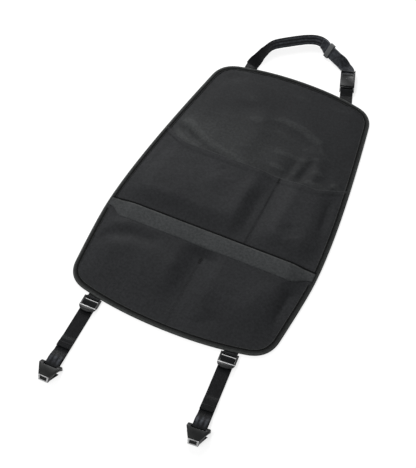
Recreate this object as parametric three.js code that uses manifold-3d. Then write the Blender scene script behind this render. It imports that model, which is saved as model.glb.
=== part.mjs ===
// Seat back protector: a flat panel with two rows of pockets that hangs on the back of a car seat.
// A buckled strap goes round the headrest posts and two hooked straps pull the lower edge down.
// It lies on its back: +Z is up from the back face, +Y points to the headrest strap, and the
// origin is the centre of the back face. Millimetres.

import * as THREE from 'three';
import { mergeVertices } from 'three/addons/utils/BufferGeometryUtils.js';
import Module from 'manifold-3d';

const wasm = await Module();
wasm.setup();

// Gaps between pieces that touch or nearly touch
const GAP = 0.3;
const SIDE_GAP = 0.5;

// Panel outline: half of it, from the bottom centre round to the top centre
const PANEL_LENGTH = 634;
const PANEL_HALF_WIDTH = 208.9;
const WIDEST_BELOW_CENTRE = 113.9;
const SIDE_BEND_DOWN = 40;
const SIDE_BEND_UP = 123.4;
const BOTTOM_BOW_REACH = 86.9;
const BOTTOM_CORNER_RISE = 24.9;
const BOTTOM_CORNER_INSET = 13.8;
const BOTTOM_CORNER_REACH = 39;
const TOP_BOW_REACH = 70.9;
const TOP_CORNER_DROP = 23.7;
const TOP_CORNER_INSET = 46.6;
const TOP_CORNER_REACH = 35;
const OUTLINE_STEPS = 6;

// Panel laminate and the binding folded over its edge
const PANEL_THICKNESS = 3.0;
const BINDING_WALL = 0.6;
const BINDING_WIDTH = 10.5;
const BINDING_TOP = PANEL_THICKNESS + GAP + BINDING_WALL;

// Pockets: cloth thickness, edges in Y, dividers in X and how far the cloth stands off
const POCKET_CLOTH = 0.7;
const POCKET_BASE = PANEL_THICKNESS + GAP;
const UPPER_HEM_Y = 72.8;
const UPPER_HEM_LIFT = 24;
const UPPER_HEM_STRAIGHT = 130;
const UPPER_HEM_BEND = 62;
const UPPER_SEAM_Y = -108;
const UPPER_DIVIDER_X = 60.5;
const UPPER_MOUTH_RISE = 5.6;
const UPPER_BULGE = 2.6;
const LOWER_MOUTH_Y = -97.2;
const LOWER_RIDGE_Y = -139.2;
const LOWER_DIVIDER_X = 4;
const LOWER_MOUTH_RISE = 6.0;
const LOWER_RIDGE_RISE = 10.0;
const LOWER_DIVIDER_TOP = -158;
const LOWER_DIVIDER_FADE = 26;
const DIVIDER_HALF = 2.5;
const SIDE_RAMP = 46;
const DIVIDER_RAMP = 34;
const SEAM_RAMP = 60;
const BAND_WIDTH = 41;
const BAND_CLOTH = 0.8;
const BAND_END_INSET = 16;
const BAND_END_ROUND = 18;
const POCKET_COLUMNS = 26;
const HEM_STEPS = 44;
const POCKET_ROWS = 12;
const LOWER_ROWS = 8;
const BAND_ROWS = 3;

// Webbing
const WEB_WIDTH = 25;
const WEB = 1.4;
const SEWN_PAIR = 2.0;
const STRAP_TUCK = 46;

// Lower straps: ladder lock, strap and hook, measured outward along the strap from the lock's top bar
const STRAP_FROM_SIDE = 76.9;
const LOCK_BAR_FROM_EDGE = 4.3;
const RIGHT_LEAN = THREE.MathUtils.degToRad(4.6);
const LOCK_WALL = 3;
const LOCK_LENGTH = 30;
const LOCK_RAIL_TOP = 5.6;
const LOCK_RAIL_BOTTOM = 1.0;
const LOCK_LIP_START = 18;
const LOCK_LIP_TOP = 8.6;
const TOP_BAR_RADIUS = 1.8;
const MID_BAR_RADIUS = 1.5;
const MID_BAR_AT = 7.9;
const HOOK_BAR_AT = 147.5;
const HOOK_BAR_RADIUS = 2.2;
const FOLD_BACK_LENGTH = 52;
const FOLD_BACK_ARCH = 2.2;
const LEFT_TAIL_AT = 109.5;
const RIGHT_TAIL_AT = 114.5;
const TAIL_HEM = 11;
const HOOK_WALL = 7;
const HOOK_SLOT_FRONT = 5.6;
const HOOK_TOP_LENGTH = 25.5;
const HOOK_LENGTH = 31;
const HOOK_HEIGHT = 13.2;
const HOOK_PLATE = 3.1;
const HOOK_LIP = 2.4;
const HOOK_LIP_FROM = 10;
const HOOK_GUSSET = 1.8;
const HOOK_FRONT_WIDTH = 20;
const HOOK_RECESS_WIDTH = 13;
const HOOK_RECESS_DEPTH = 1.3;
const HOOK_REAR_DROP = 1.2;
const HOOK_NOSE_ROUND = 0.8;
const HOOK_EYE_END = 125;

// Side-release buckle on the headrest strap, measured from its centre toward the panel
const BUCKLE_X = 86.8;
const BUCKLE_ABOVE_PANEL = 35.6;
const BUCKLE_TURN = THREE.MathUtils.degToRad(17.8);
const BUCKLE_WIDTH = 28.8;
const BUCKLE_HEIGHT = 11;
const BUCKLE_WALL = 2.2;
const BUCKLE_CHEEK = 1.6;
const FEMALE_END = -29.3;
const FEMALE_BODY_FROM = -17.8;
const FEMALE_MOUTH = 15.2;
const END_BAR_AT = -27.5;
const END_BAR_RADIUS = 1.6;
const WRAP_BAR_AT = -21;
const WRAP_BAR_RADIUS = 1.5;
const WINDOW_LENGTH = 9;
const WINDOW_FROM_MOUTH = 6;
const CAVITY_DEPTH = 18;
const TOP_RECESS_DEPTH = 0.7;
const TOP_RECESS_HALF_WIDTH = 10;
const TOP_RECESS_LENGTH = 8;
const MALE_FLANGE = 2.7;
const MALE_END = 25;
const MALE_BAR_AT = 21.9;
const MALE_BAR_RADIUS = 1.6;
const MALE_BAR_Z = 5;
const BUCKLE_LOOP_CLOSES = 13;
const PRONG_LENGTH = 14.5;
const PRONG_WIDTH = 2.4;
const BARB_LENGTH = 7;
const GUIDE_WIDTH = 5;

// Headrest strap: slider loop on its flat stretch and the tab at its sewn root
const SLIDER_X = 27.6;
const SLIDER_ABOVE_PANEL = 97.2;
const SLIDER_TILT = THREE.MathUtils.degToRad(52);
const SLIDER_LENGTH = 11;
const SLIDER_WALL = 1.6;
const SLIDER_FLOOR = 1.2;
const SLIDER_SIDE = 2.3;
const STRAP_CORNER_REACH = 5;
const STRAP_CORNER_BEFORE_BUCKLE = 7;
const STRAP_TWIST_FROM = 25;
const STRAP_TWIST_TO = 49;
const TAB_X = -105;
const TAB_BEYOND_PANEL = 8;
const TAB_TUCK = 55;
const BAR_SEGMENTS = 16;

const panelTop = PANEL_LENGTH / 2;
const panelBottom = -PANEL_LENGTH / 2;
const strapX = PANEL_HALF_WIDTH - STRAP_FROM_SIDE;
const lockBarY = panelBottom + LOCK_BAR_FROM_EDGE;

// Solids

// Turns a closed geometry into a solid that can be cut and joined
function solid(geometry) {
  const bare = geometry.clone();
  bare.deleteAttribute('normal');
  bare.deleteAttribute('uv');
  const merged = mergeVertices(bare, 1e-4);
  return new wasm.Manifold(new wasm.Mesh({
    numProp: 3,
    vertProperties: new Float32Array(merged.attributes.position.array),
    triVerts: new Uint32Array(merged.index.array),
  }));
}

// Turns a solid back into a geometry
function geometryOf(body) {
  const mesh = body.getMesh();
  const geometry = new THREE.BufferGeometry();
  geometry.setAttribute('position', new THREE.BufferAttribute(new Float32Array(mesh.vertProperties), 3));
  geometry.setIndex(new THREE.BufferAttribute(new Uint32Array(mesh.triVerts), 1));
  geometry.computeVertexNormals();
  return geometry;
}

function moved(body, matrix) {
  return body.transform([...matrix.elements]);
}

function extruded(shape, depth, curveSegments = 10) {
  return new THREE.ExtrudeGeometry(shape, { depth, bevelEnabled: false, steps: 1, curveSegments });
}

// A plan shape in X and Y between two heights
function slab(shape, bottom, top) {
  return solid(extruded(shape, top - bottom).translate(0, 0, bottom));
}

// A side profile, drawn with x outward along a strap and y up, carried across the strap's width
function across(shape, width, curveSegments = 10) {
  const outward = new THREE.Vector3(0, -1, 0);
  const up = new THREE.Vector3(0, 0, 1);
  const sideways = new THREE.Vector3().crossVectors(outward, up);
  const turn = new THREE.Matrix4().makeBasis(outward, up, sideways);
  const geometry = extruded(shape, width, curveSegments).translate(0, 0, -width / 2);
  return solid(geometry.applyMatrix4(turn));
}

// A box given by its ranges, with the second range measured outward along a strap
function block(x, outward, z) {
  const size = [x[1] - x[0], outward[1] - outward[0], z[1] - z[0]];
  const box = new THREE.BoxGeometry(...size);
  return solid(box.translate((x[0] + x[1]) / 2, -(outward[0] + outward[1]) / 2, (z[0] + z[1]) / 2));
}

// A round bar across a strap
function bar(radius, outward, z, length) {
  const rod = new THREE.CylinderGeometry(radius, radius, length, BAR_SEGMENTS);
  return solid(rod.rotateZ(Math.PI / 2).translate(0, -outward, z));
}

function polygon(points) {
  return new THREE.Shape(points.map(([x, y]) => new THREE.Vector2(x, y)));
}

function smooth(value, from, to) {
  return THREE.MathUtils.smoothstep(value, from, to);
}

// Panel outline

function toward(from, to, reach) {
  return from.clone().add(to.clone().sub(from).setLength(reach));
}

// The right half of the outline, from bottom centre to top centre
function halfOutline() {
  const widest = -WIDEST_BELOW_CENTRE;
  const bottomEdge = new THREE.Vector2(BOTTOM_BOW_REACH, panelBottom);
  const bottomCorner = new THREE.Vector2(
    PANEL_HALF_WIDTH - BOTTOM_CORNER_INSET, panelBottom + BOTTOM_CORNER_RISE);
  const lowerSide = new THREE.Vector2(PANEL_HALF_WIDTH, widest - SIDE_BEND_DOWN);
  const side = new THREE.Vector2(PANEL_HALF_WIDTH, widest);
  const upperSide = new THREE.Vector2(PANEL_HALF_WIDTH, widest + SIDE_BEND_UP);
  const topCorner = new THREE.Vector2(PANEL_HALF_WIDTH - TOP_CORNER_INSET, panelTop - TOP_CORNER_DROP);
  const topEdge = new THREE.Vector2(TOP_BOW_REACH, panelTop);
  const knots = [
    new THREE.Vector2(0, panelBottom),
    toward(bottomCorner, bottomEdge, BOTTOM_CORNER_REACH),
    toward(bottomCorner, lowerSide, BOTTOM_CORNER_REACH),
    side,
    toward(topCorner, upperSide, TOP_CORNER_REACH),
    toward(topCorner, topEdge, TOP_CORNER_REACH),
    new THREE.Vector2(0, panelTop),
  ];
  const controls = [bottomEdge, bottomCorner, lowerSide, upperSide, topCorner, topEdge];
  const points = [knots[0]];
  controls.forEach((control, i) => {
    const curve = new THREE.QuadraticBezierCurve(knots[i], control, knots[i + 1]);
    points.push(...curve.getPoints(OUTLINE_STEPS).slice(1));
  });
  return points;
}

// The whole outline, moved inward by a distance
function outline(inset) {
  const right = halfOutline();
  const left = right.slice(1, -1).reverse().map((p) => new THREE.Vector2(-p.x, p.y));
  const loop = [...right, ...left];
  const inner = loop.map((point, i) => {
    const before = loop[(i + loop.length - 1) % loop.length];
    const after = loop[(i + 1) % loop.length];
    const along = after.clone().sub(before).normalize();
    return point.clone().add(new THREE.Vector2(-along.y, along.x).multiplyScalar(inset));
  });
  return new THREE.Shape(inner);
}

// How far the outline reaches to the side at a height up the panel
function halfWidthAt(y, inset) {
  const points = halfOutline();
  for (let i = 1; i < points.length; i += 1) {
    const [a, b] = [points[i - 1], points[i]];
    if (y >= a.y && y <= b.y && b.y > a.y) {
      return THREE.MathUtils.lerp(a.x, b.x, (y - a.y) / (b.y - a.y)) - inset;
    }
  }
  return 0;
}

// Places of the straps and the buckle

function placement(x, y, turn) {
  return new THREE.Matrix4().makeRotationZ(turn).setPosition(x, y, 0);
}

const leftPlace = placement(-strapX, lockBarY, 0);
const rightPlace = placement(strapX, lockBarY, RIGHT_LEAN);
const bucklePlace = placement(BUCKLE_X, panelTop + BUCKLE_ABOVE_PANEL, BUCKLE_TURN);
const loopTurnedBack = new THREE.Matrix4().makeRotationZ(Math.PI).setPosition(0, -MALE_BAR_AT, 0);
const buckleStrapPlace = bucklePlace.clone().multiply(loopTurnedBack);
const tabPlace = placement(TAB_X, panelTop, 0);

// Panel and binding

// Room in the panel's back for the sewn ends of the straps
function strapRecesses() {
  const half = WEB_WIDTH / 2 + SIDE_GAP;
  const pair = [-1, SEWN_PAIR + GAP];
  const lock = block([-half, half], [-STRAP_TUCK - SIDE_GAP, 0], pair);
  const buckle = block([-half, half], [-STRAP_TUCK - BUCKLE_ABOVE_PANEL, 0], pair);
  const tab = block([-half, half], [-TAB_BEYOND_PANEL, TAB_TUCK + SIDE_GAP], [-1, WEB + GAP]);
  return moved(lock, leftPlace)
    .add(moved(lock, rightPlace))
    .add(moved(buckle, buckleStrapPlace))
    .add(moved(tab, tabPlace));
}

function backPanel() {
  const rebate = BINDING_WALL + GAP;
  const sheet = slab(outline(rebate), rebate, PANEL_THICKNESS);
  const back = slab(outline(BINDING_WIDTH + GAP), 0, PANEL_THICKNESS);
  return geometryOf(sheet.add(back).subtract(strapRecesses()));
}

function edgeBinding() {
  const outside = slab(outline(0), 0, BINDING_TOP);
  const middle = slab(outline(BINDING_WIDTH), -1, BINDING_TOP + 1);
  const fold = slab(outline(BINDING_WALL), BINDING_WALL, BINDING_TOP - BINDING_WALL);
  return geometryOf(outside.subtract(middle).subtract(fold).subtract(strapRecesses()));
}

// Pockets

// One where the cloth stands free, falling to zero at the panel's edge
function fromSide(x, y) {
  return smooth(halfWidthAt(y, BINDING_WIDTH) - Math.abs(x), 0, SIDE_RAMP);
}

// One where the cloth stands free, falling to zero at a divider seam
function fromDivider(x, divider) {
  return smooth(Math.abs(x - divider) - DIVIDER_HALF, 0, DIVIDER_RAMP);
}

function upperPocketHeight(x, y) {
  const fromSeam = smooth(y, UPPER_SEAM_Y + 12, UPPER_SEAM_Y + SEAM_RAMP);
  const fromHem = smooth(y, UPPER_HEM_Y - SEAM_RAMP * 2, UPPER_HEM_Y);
  const rise = UPPER_MOUTH_RISE + UPPER_BULGE * (1 - fromHem);
  return POCKET_BASE + rise * fromSeam * fromSide(x, y) * fromDivider(x, UPPER_DIVIDER_X);
}

// The lower divider ends below the ridge, so the band runs straight across it
function lowerPocketHeight(x, y) {
  const rim = POCKET_CLOTH + GAP;
  const base = POCKET_BASE + rim * smooth(y, UPPER_SEAM_Y - 30, UPPER_SEAM_Y - 10);
  const fromBottom = smooth(y, panelBottom + BINDING_WIDTH, panelBottom + BINDING_WIDTH + 2 * SEAM_RAMP);
  const toMouth = smooth(y, LOWER_RIDGE_Y, LOWER_MOUTH_Y);
  const rise = THREE.MathUtils.lerp(LOWER_RIDGE_RISE, LOWER_MOUTH_RISE, toMouth);
  const pastDivider = smooth(y, LOWER_DIVIDER_TOP, LOWER_DIVIDER_TOP + LOWER_DIVIDER_FADE);
  const heldDown = THREE.MathUtils.lerp(fromDivider(x, LOWER_DIVIDER_X), 1, pastDivider);
  return base + rise * fromBottom * fromSide(x, y) * heldDown;
}

// A sheet of cloth over a rectangle, its underside at height(x, y) plus lift
function sheet(height, lift, cloth, xs, ys) {
  const positions = [];
  const faces = [];
  const rows = ys.length;
  const columns = xs.length;
  for (const offset of [lift, lift + cloth]) {
    for (const y of ys) {
      xs.forEach((x) => positions.push(x, y, height(x, y) + offset));
    }
  }
  const at = (layer, row, column) => layer * rows * columns + row * columns + column;
  const quad = (a, b, c, d) => faces.push(a, b, c, a, c, d);
  for (let r = 0; r + 1 < rows; r += 1) {
    for (let c = 0; c + 1 < columns; c += 1) {
      quad(at(1, r, c), at(1, r, c + 1), at(1, r + 1, c + 1), at(1, r + 1, c));
      quad(at(0, r, c), at(0, r + 1, c), at(0, r + 1, c + 1), at(0, r, c + 1));
    }
  }
  for (let c = 0; c + 1 < columns; c += 1) {
    quad(at(0, 0, c), at(0, 0, c + 1), at(1, 0, c + 1), at(1, 0, c));
    quad(at(0, rows - 1, c + 1), at(0, rows - 1, c), at(1, rows - 1, c), at(1, rows - 1, c + 1));
  }
  for (let r = 0; r + 1 < rows; r += 1) {
    quad(at(0, r + 1, 0), at(0, r, 0), at(1, r, 0), at(1, r + 1, 0));
    quad(at(0, r, columns - 1), at(0, r + 1, columns - 1), at(1, r + 1, columns - 1), at(1, r, columns - 1));
  }
  const geometry = new THREE.BufferGeometry();
  geometry.setAttribute('position', new THREE.BufferAttribute(new Float32Array(positions), 3));
  geometry.setIndex(faces);
  return solid(geometry);
}

// Evenly spaced values, with the listed ones added
function steps(from, to, count, extra = []) {
  const even = Array.from({ length: count + 1 }, (_, i) => THREE.MathUtils.lerp(from, to, i / count));
  const apart = (to - from) / count / 4;
  const kept = even.filter((v, i) => i === 0 || i === count || extra.every((e) => Math.abs(e - v) > apart));
  return [...kept, ...extra].sort((a, b) => a - b);
}

function columnsFor(divider) {
  const reach = PANEL_HALF_WIDTH;
  return steps(-reach, reach, POCKET_COLUMNS, [divider - DIVIDER_HALF, divider + DIVIDER_HALF]);
}

// The upper hem runs straight and turns up toward both sides
function upperHemAt(x) {
  const bent = smooth(Math.abs(x), UPPER_HEM_STRAIGHT, UPPER_HEM_STRAIGHT + UPPER_HEM_BEND);
  return UPPER_HEM_Y + UPPER_HEM_LIFT * bent;
}

function upperPocket() {
  const hem = steps(-PANEL_HALF_WIDTH, PANEL_HALF_WIDTH, HEM_STEPS).reverse();
  const plan = polygon([
    [-PANEL_HALF_WIDTH, UPPER_SEAM_Y],
    [PANEL_HALF_WIDTH, UPPER_SEAM_Y],
    ...hem.map((x) => [x, upperHemAt(x)]),
  ]);
  const ys = steps(UPPER_SEAM_Y - 1, UPPER_HEM_Y + UPPER_HEM_LIFT + 1, POCKET_ROWS, [UPPER_HEM_Y]);
  const cloth = sheet(upperPocketHeight, 0, POCKET_CLOTH, columnsFor(UPPER_DIVIDER_X), ys);
  const inside = slab(outline(BINDING_WIDTH + GAP), 0, PANEL_LENGTH);
  return geometryOf(cloth.intersect(inside).intersect(slab(plan, 0, PANEL_LENGTH)));
}

// Grid rows under the band, shared by the band and the pocket that it lies on
function bandRows() {
  return steps(LOWER_MOUTH_Y - BAND_WIDTH - 1, LOWER_MOUTH_Y, BAND_ROWS, [LOWER_RIDGE_Y + 4]);
}

function lowerPocket() {
  const below = steps(panelBottom, LOWER_MOUTH_Y - BAND_WIDTH - 1, LOWER_ROWS).slice(0, -1);
  const ys = [...below, ...bandRows()];
  const cloth = sheet(lowerPocketHeight, 0, POCKET_CLOTH, columnsFor(LOWER_DIVIDER_X), ys);
  return geometryOf(cloth.intersect(slab(outline(BINDING_WIDTH + GAP), 0, PANEL_LENGTH)));
}

// The mouth band lies on the lower pocket and has its lower corners rounded off
function lowerPocketBand() {
  const reach = PANEL_HALF_WIDTH;
  const low = LOWER_MOUTH_Y - BAND_WIDTH;
  const end = halfWidthAt(LOWER_MOUTH_Y, BINDING_WIDTH + GAP);
  const plan = new THREE.Shape();
  plan.moveTo(-reach, LOWER_MOUTH_Y);
  plan.lineTo(-reach, low + BAND_END_ROUND);
  plan.lineTo(-end, low + BAND_END_ROUND);
  plan.quadraticCurveTo(-end + BAND_END_INSET / 2, low, -end + 2 * BAND_END_INSET, low);
  plan.lineTo(end - 2 * BAND_END_INSET, low);
  plan.quadraticCurveTo(end - BAND_END_INSET / 2, low, end, low + BAND_END_ROUND);
  plan.lineTo(reach, low + BAND_END_ROUND);
  plan.lineTo(reach, LOWER_MOUTH_Y);
  plan.closePath();
  const xs = columnsFor(LOWER_DIVIDER_X);
  const cloth = sheet(lowerPocketHeight, POCKET_CLOTH + GAP, BAND_CLOTH, xs, bandRows());
  const inside = slab(outline(BINDING_WIDTH + GAP), 0, PANEL_LENGTH);
  return geometryOf(cloth.intersect(inside).intersect(slab(plan, 0, PANEL_LENGTH)));
}

// Webbing

// A band of webbing along a line of points in a side profile
function bandShape(points, thickness) {
  const sides = [1, -1].map((side) => points.map((point, i) => {
    const before = points[Math.max(i - 1, 0)];
    const after = points[Math.min(i + 1, points.length - 1)];
    const inward = point.clone().sub(before).normalize();
    const outward = after.clone().sub(point).normalize();
    const along = inward.add(outward).normalize();
    const normal = new THREE.Vector2(-along.y, along.x);
    return point.clone().addScaledVector(normal, (side * thickness) / 2);
  }));
  return new THREE.Shape([...sides[0], ...sides[1].reverse()]);
}

// Points on an arc, angles in degrees
function arc(x, y, radius, from, to, count) {
  return Array.from({ length: count + 1 }, (_, i) => {
    const angle = THREE.MathUtils.degToRad(THREE.MathUtils.lerp(from, to, i / count));
    return new THREE.Vector2(x + radius * Math.cos(angle), y + radius * Math.sin(angle));
  });
}

// Points on a soft step between two heights
function ramp(x0, y0, x1, y1, count = 6) {
  return Array.from({ length: count + 1 }, (_, i) => {
    const t = i / count;
    return new THREE.Vector2(THREE.MathUtils.lerp(x0, x1, t), THREE.MathUtils.lerp(y0, y1, smooth(t, 0, 1)));
  });
}

// Lifts a line of points into an arch, its ends left where they are
function arched(points, height) {
  return points.map((p, i) => {
    const lift = Math.sin((Math.PI * i) / (points.length - 1)) ** 2;
    return new THREE.Vector2(p.x, p.y + height * lift);
  });
}

// A sewn loop round a bar, its two layers closed into a flat tail that runs back under the panel
function loopGeometry(barZ, barRadius, drop, closeAngle, tail) {
  const hole = barRadius + GAP;
  const ring = hole + WEB;
  const shape = new THREE.Shape();
  shape.moveTo(-tail, 0);
  shape.lineTo(-drop, 0);
  shape.lineTo(0, barZ - ring);
  shape.absarc(0, barZ, ring, -Math.PI / 2, closeAngle, false);
  shape.lineTo(-drop, SEWN_PAIR);
  shape.lineTo(-tail, SEWN_PAIR);
  shape.closePath();
  const eye = new THREE.Path();
  eye.absarc(0, barZ, hole, 0, 2 * Math.PI, true);
  shape.holes.push(eye);
  return geometryOf(across(shape, WEB_WIDTH, BAR_SEGMENTS));
}

const loadZ = WEB / 2;
const layerStep = WEB + GAP;
const lockRing = TOP_BAR_RADIUS + GAP + WEB;
const midWrap = MID_BAR_RADIUS + GAP + WEB / 2;
const midBarZ = loadZ + midWrap;
const hookWrap = HOOK_BAR_RADIUS + GAP + WEB / 2;
const hookBarZ = loadZ + hookWrap;

// Lower strap: tail end, over the lock's middle bar, down to the hook and folded back on itself
function strapGeometry(tailAt) {
  const tailZ = loadZ + layerStep;
  const overFoldZ = tailZ + layerStep;
  const foldEnd = HOOK_BAR_AT - FOLD_BACK_LENGTH;
  const lipClear = LOCK_LIP_START - 2.5;
  const centre = [
    ...ramp(tailAt, overFoldZ, foldEnd - 1, overFoldZ, 1),
    ...ramp(foldEnd - 2, overFoldZ, foldEnd - 12, tailZ),
    new THREE.Vector2(lipClear, tailZ),
    new THREE.Vector2(lipClear - 1.4, tailZ + 0.2),
    ...arc(MID_BAR_AT, midBarZ, midWrap, 45, 270, 14),
    ...arc(HOOK_BAR_AT, hookBarZ, hookWrap, -90, 90, 12),
    ...arched(ramp(HOOK_BAR_AT - 3, hookBarZ + hookWrap - 0.1, tailAt + 5, tailZ, 10), FOLD_BACK_ARCH),
    new THREE.Vector2(foldEnd, tailZ),
  ];
  const web = across(bandShape(centre, WEB), WEB_WIDTH);
  const half = WEB_WIDTH / 2;
  const hem = block([-half, half], [tailAt - TAIL_HEM, tailAt], [overFoldZ, overFoldZ + WEB * 1.5]);
  return geometryOf(web.add(hem));
}

// Ladder lock: two rails, a top bar for the sewn loop, a middle bar and a raised thumb lip
function ladderLockGeometry() {
  const inner = WEB_WIDTH / 2 + SIDE_GAP;
  const outer = inner + LOCK_WALL;
  const railEnd = (LOCK_RAIL_TOP - LOCK_RAIL_BOTTOM) / 2;
  const plan = new THREE.Shape();
  plan.moveTo(-outer, railEnd + 1);
  plan.lineTo(-outer, -LOCK_LIP_START);
  plan.bezierCurveTo(-outer, 4 - LOCK_LENGTH, -outer / 2, -LOCK_LENGTH, 0, -LOCK_LENGTH);
  plan.bezierCurveTo(outer / 2, -LOCK_LENGTH, outer, 4 - LOCK_LENGTH, outer, -LOCK_LIP_START);
  plan.lineTo(outer, railEnd + 1);
  plan.closePath();
  const side = new THREE.Shape();
  side.absarc(0, lockRing, railEnd, Math.PI / 2, 1.5 * Math.PI, false);
  side.lineTo(LOCK_LIP_START - 4, LOCK_RAIL_BOTTOM);
  side.lineTo(LOCK_LIP_START, 2 * layerStep + 0.1);
  side.lineTo(LOCK_LENGTH, LOCK_RAIL_TOP);
  side.quadraticCurveTo(LOCK_LENGTH, LOCK_LIP_TOP, LOCK_LENGTH - 4, LOCK_LIP_TOP);
  side.quadraticCurveTo(LOCK_LIP_START + 3, LOCK_LIP_TOP - 1, LOCK_LIP_START - 1, LOCK_RAIL_TOP);
  side.closePath();
  const frame = across(side, 2 * outer).intersect(slab(plan, 0, LOCK_LIP_TOP));
  const opening = block([-inner, inner], [-LOCK_LENGTH, LOCK_LIP_START], [-1, LOCK_LIP_TOP]);
  return geometryOf(frame
    .subtract(opening)
    .add(bar(TOP_BAR_RADIUS, 0, lockRing, 2 * inner + LOCK_WALL))
    .add(bar(MID_BAR_RADIUS, MID_BAR_AT, midBarZ, 2 * inner + LOCK_WALL)));
}

// Two side walls that stiffen the hook between its plate and its nose
function hookGussets(outer) {
  const at = HOOK_BAR_AT;
  const wall = polygon([
    [at + HOOK_SLOT_FRONT + 3, HOOK_HEIGHT - HOOK_PLATE + 0.5],
    [at + HOOK_LENGTH - 7, HOOK_LIP + 0.8],
    [at + HOOK_LENGTH - 3, HOOK_LIP + 0.8],
    [at + HOOK_TOP_LENGTH - 2, HOOK_HEIGHT - HOOK_PLATE + 0.5],
  ]);
  const front = HOOK_FRONT_WIDTH / 2 - HOOK_GUSSET;
  const inside = polygon([
    [-outer + HOOK_GUSSET, -at - HOOK_SLOT_FRONT],
    [-front, -at - HOOK_TOP_LENGTH],
    [-front, -at - HOOK_LENGTH - 1],
    [front, -at - HOOK_LENGTH - 1],
    [front, -at - HOOK_TOP_LENGTH],
    [outer - HOOK_GUSSET, -at - HOOK_SLOT_FRONT],
  ]);
  return across(wall, 2 * outer).subtract(slab(inside, 0, HOOK_HEIGHT));
}

// Hook: a bar between two cheeks, a plate that slopes to a cored nose, and a lip turned back under it
function hookGeometry() {
  const inner = WEB_WIDTH / 2 + SIDE_GAP;
  const outer = inner + HOOK_WALL;
  const eyeWall = hookBarZ;
  const at = HOOK_BAR_AT;
  const plateRear = HOOK_HEIGHT - HOOK_REAR_DROP;
  const side = new THREE.Shape();
  side.moveTo(at, 0);
  side.absarc(at, hookBarZ, eyeWall, -Math.PI / 2, THREE.MathUtils.degToRad(HOOK_EYE_END), true);
  side.lineTo(at + HOOK_SLOT_FRONT - 2, plateRear - 0.6);
  side.lineTo(at + HOOK_SLOT_FRONT, plateRear);
  side.lineTo(at + HOOK_TOP_LENGTH - 1, HOOK_HEIGHT);
  side.quadraticCurveTo(at + HOOK_TOP_LENGTH, HOOK_HEIGHT, at + HOOK_TOP_LENGTH + 0.6, HOOK_HEIGHT - 1.2);
  side.lineTo(at + HOOK_LENGTH, 1.4);
  side.lineTo(at + HOOK_LENGTH - 1, 0);
  side.lineTo(at + HOOK_LIP_FROM, 0);
  side.lineTo(at + HOOK_LIP_FROM - 1, HOOK_LIP / 2);
  side.lineTo(at + HOOK_LIP_FROM, HOOK_LIP);
  side.lineTo(at + HOOK_LENGTH - 6, HOOK_LIP);
  side.quadraticCurveTo(
    at + HOOK_TOP_LENGTH - 2.4, HOOK_LIP + 1, at + HOOK_TOP_LENGTH - 3, HOOK_HEIGHT - HOOK_PLATE);
  side.lineTo(at + HOOK_SLOT_FRONT + 1, plateRear - HOOK_PLATE);
  side.lineTo(at + HOOK_SLOT_FRONT - 1.4, plateRear / 2);
  side.closePath();
  const front = HOOK_FRONT_WIDTH / 2;
  const plan = polygon([
    [-outer + 2, -at + 5],
    [-outer, -at + 1.5],
    [-outer, -at - HOOK_SLOT_FRONT],
    [-front, -at - HOOK_TOP_LENGTH],
    [-front + 1.5, -at - HOOK_LENGTH - 1],
    [front - 1.5, -at - HOOK_LENGTH - 1],
    [front, -at - HOOK_TOP_LENGTH],
    [outer, -at - HOOK_SLOT_FRONT],
    [outer, -at + 1.5],
    [outer - 2, -at + 5],
  ]);
  const recessTop = HOOK_HEIGHT - HOOK_PLATE;
  const recessBottom = HOOK_LIP + 1;
  const slope = (HOOK_LENGTH - HOOK_TOP_LENGTH) / HOOK_HEIGHT;
  const faceAt = (z) => at + HOOK_TOP_LENGTH + HOOK_NOSE_ROUND + slope * (HOOK_HEIGHT - z);
  const recess = polygon([
    [faceAt(recessBottom) - HOOK_RECESS_DEPTH, recessBottom],
    [faceAt(recessBottom) + 4, recessBottom],
    [faceAt(recessTop) + 4, recessTop],
    [faceAt(recessTop) - HOOK_RECESS_DEPTH, recessTop],
  ]);
  const slot = block([-inner, inner], [at - 8, at + HOOK_SLOT_FRONT], [-1, HOOK_HEIGHT + 1]);
  return geometryOf(across(side, 2 * outer)
    .add(hookGussets(outer))
    .intersect(slab(plan, 0, HOOK_HEIGHT))
    .subtract(slot)
    .subtract(across(recess, HOOK_RECESS_WIDTH))
    .add(bar(HOOK_BAR_RADIUS, at, hookBarZ, 2 * inner + HOOK_WALL)));
}

// Buckle

const lowerLayerZ = SLIDER_FLOOR + GAP + WEB / 2;
const wrapRadius = WRAP_BAR_RADIUS + GAP + WEB / 2;
const wrapBarZ = lowerLayerZ + wrapRadius;
const cheekInside = BUCKLE_WIDTH / 2 - BUCKLE_CHEEK;
const cavityBottom = BUCKLE_WALL;
const cavityTop = BUCKLE_HEIGHT - BUCKLE_WALL;
const cavityHalf = cheekInside - GAP;

// Both halves share a rounded side profile
function housing(from, to, width, bottom, top) {
  const side = new THREE.Shape();
  side.moveTo(from + 1, bottom);
  side.lineTo(to - 1, bottom);
  side.lineTo(to, bottom + 1);
  side.lineTo(to, top - 1);
  side.lineTo(to - 1, top);
  side.lineTo(from + 4, top);
  side.quadraticCurveTo(from, top, from, top - 3.4);
  side.lineTo(from, bottom + 1);
  side.closePath();
  return across(side, width);
}

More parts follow.
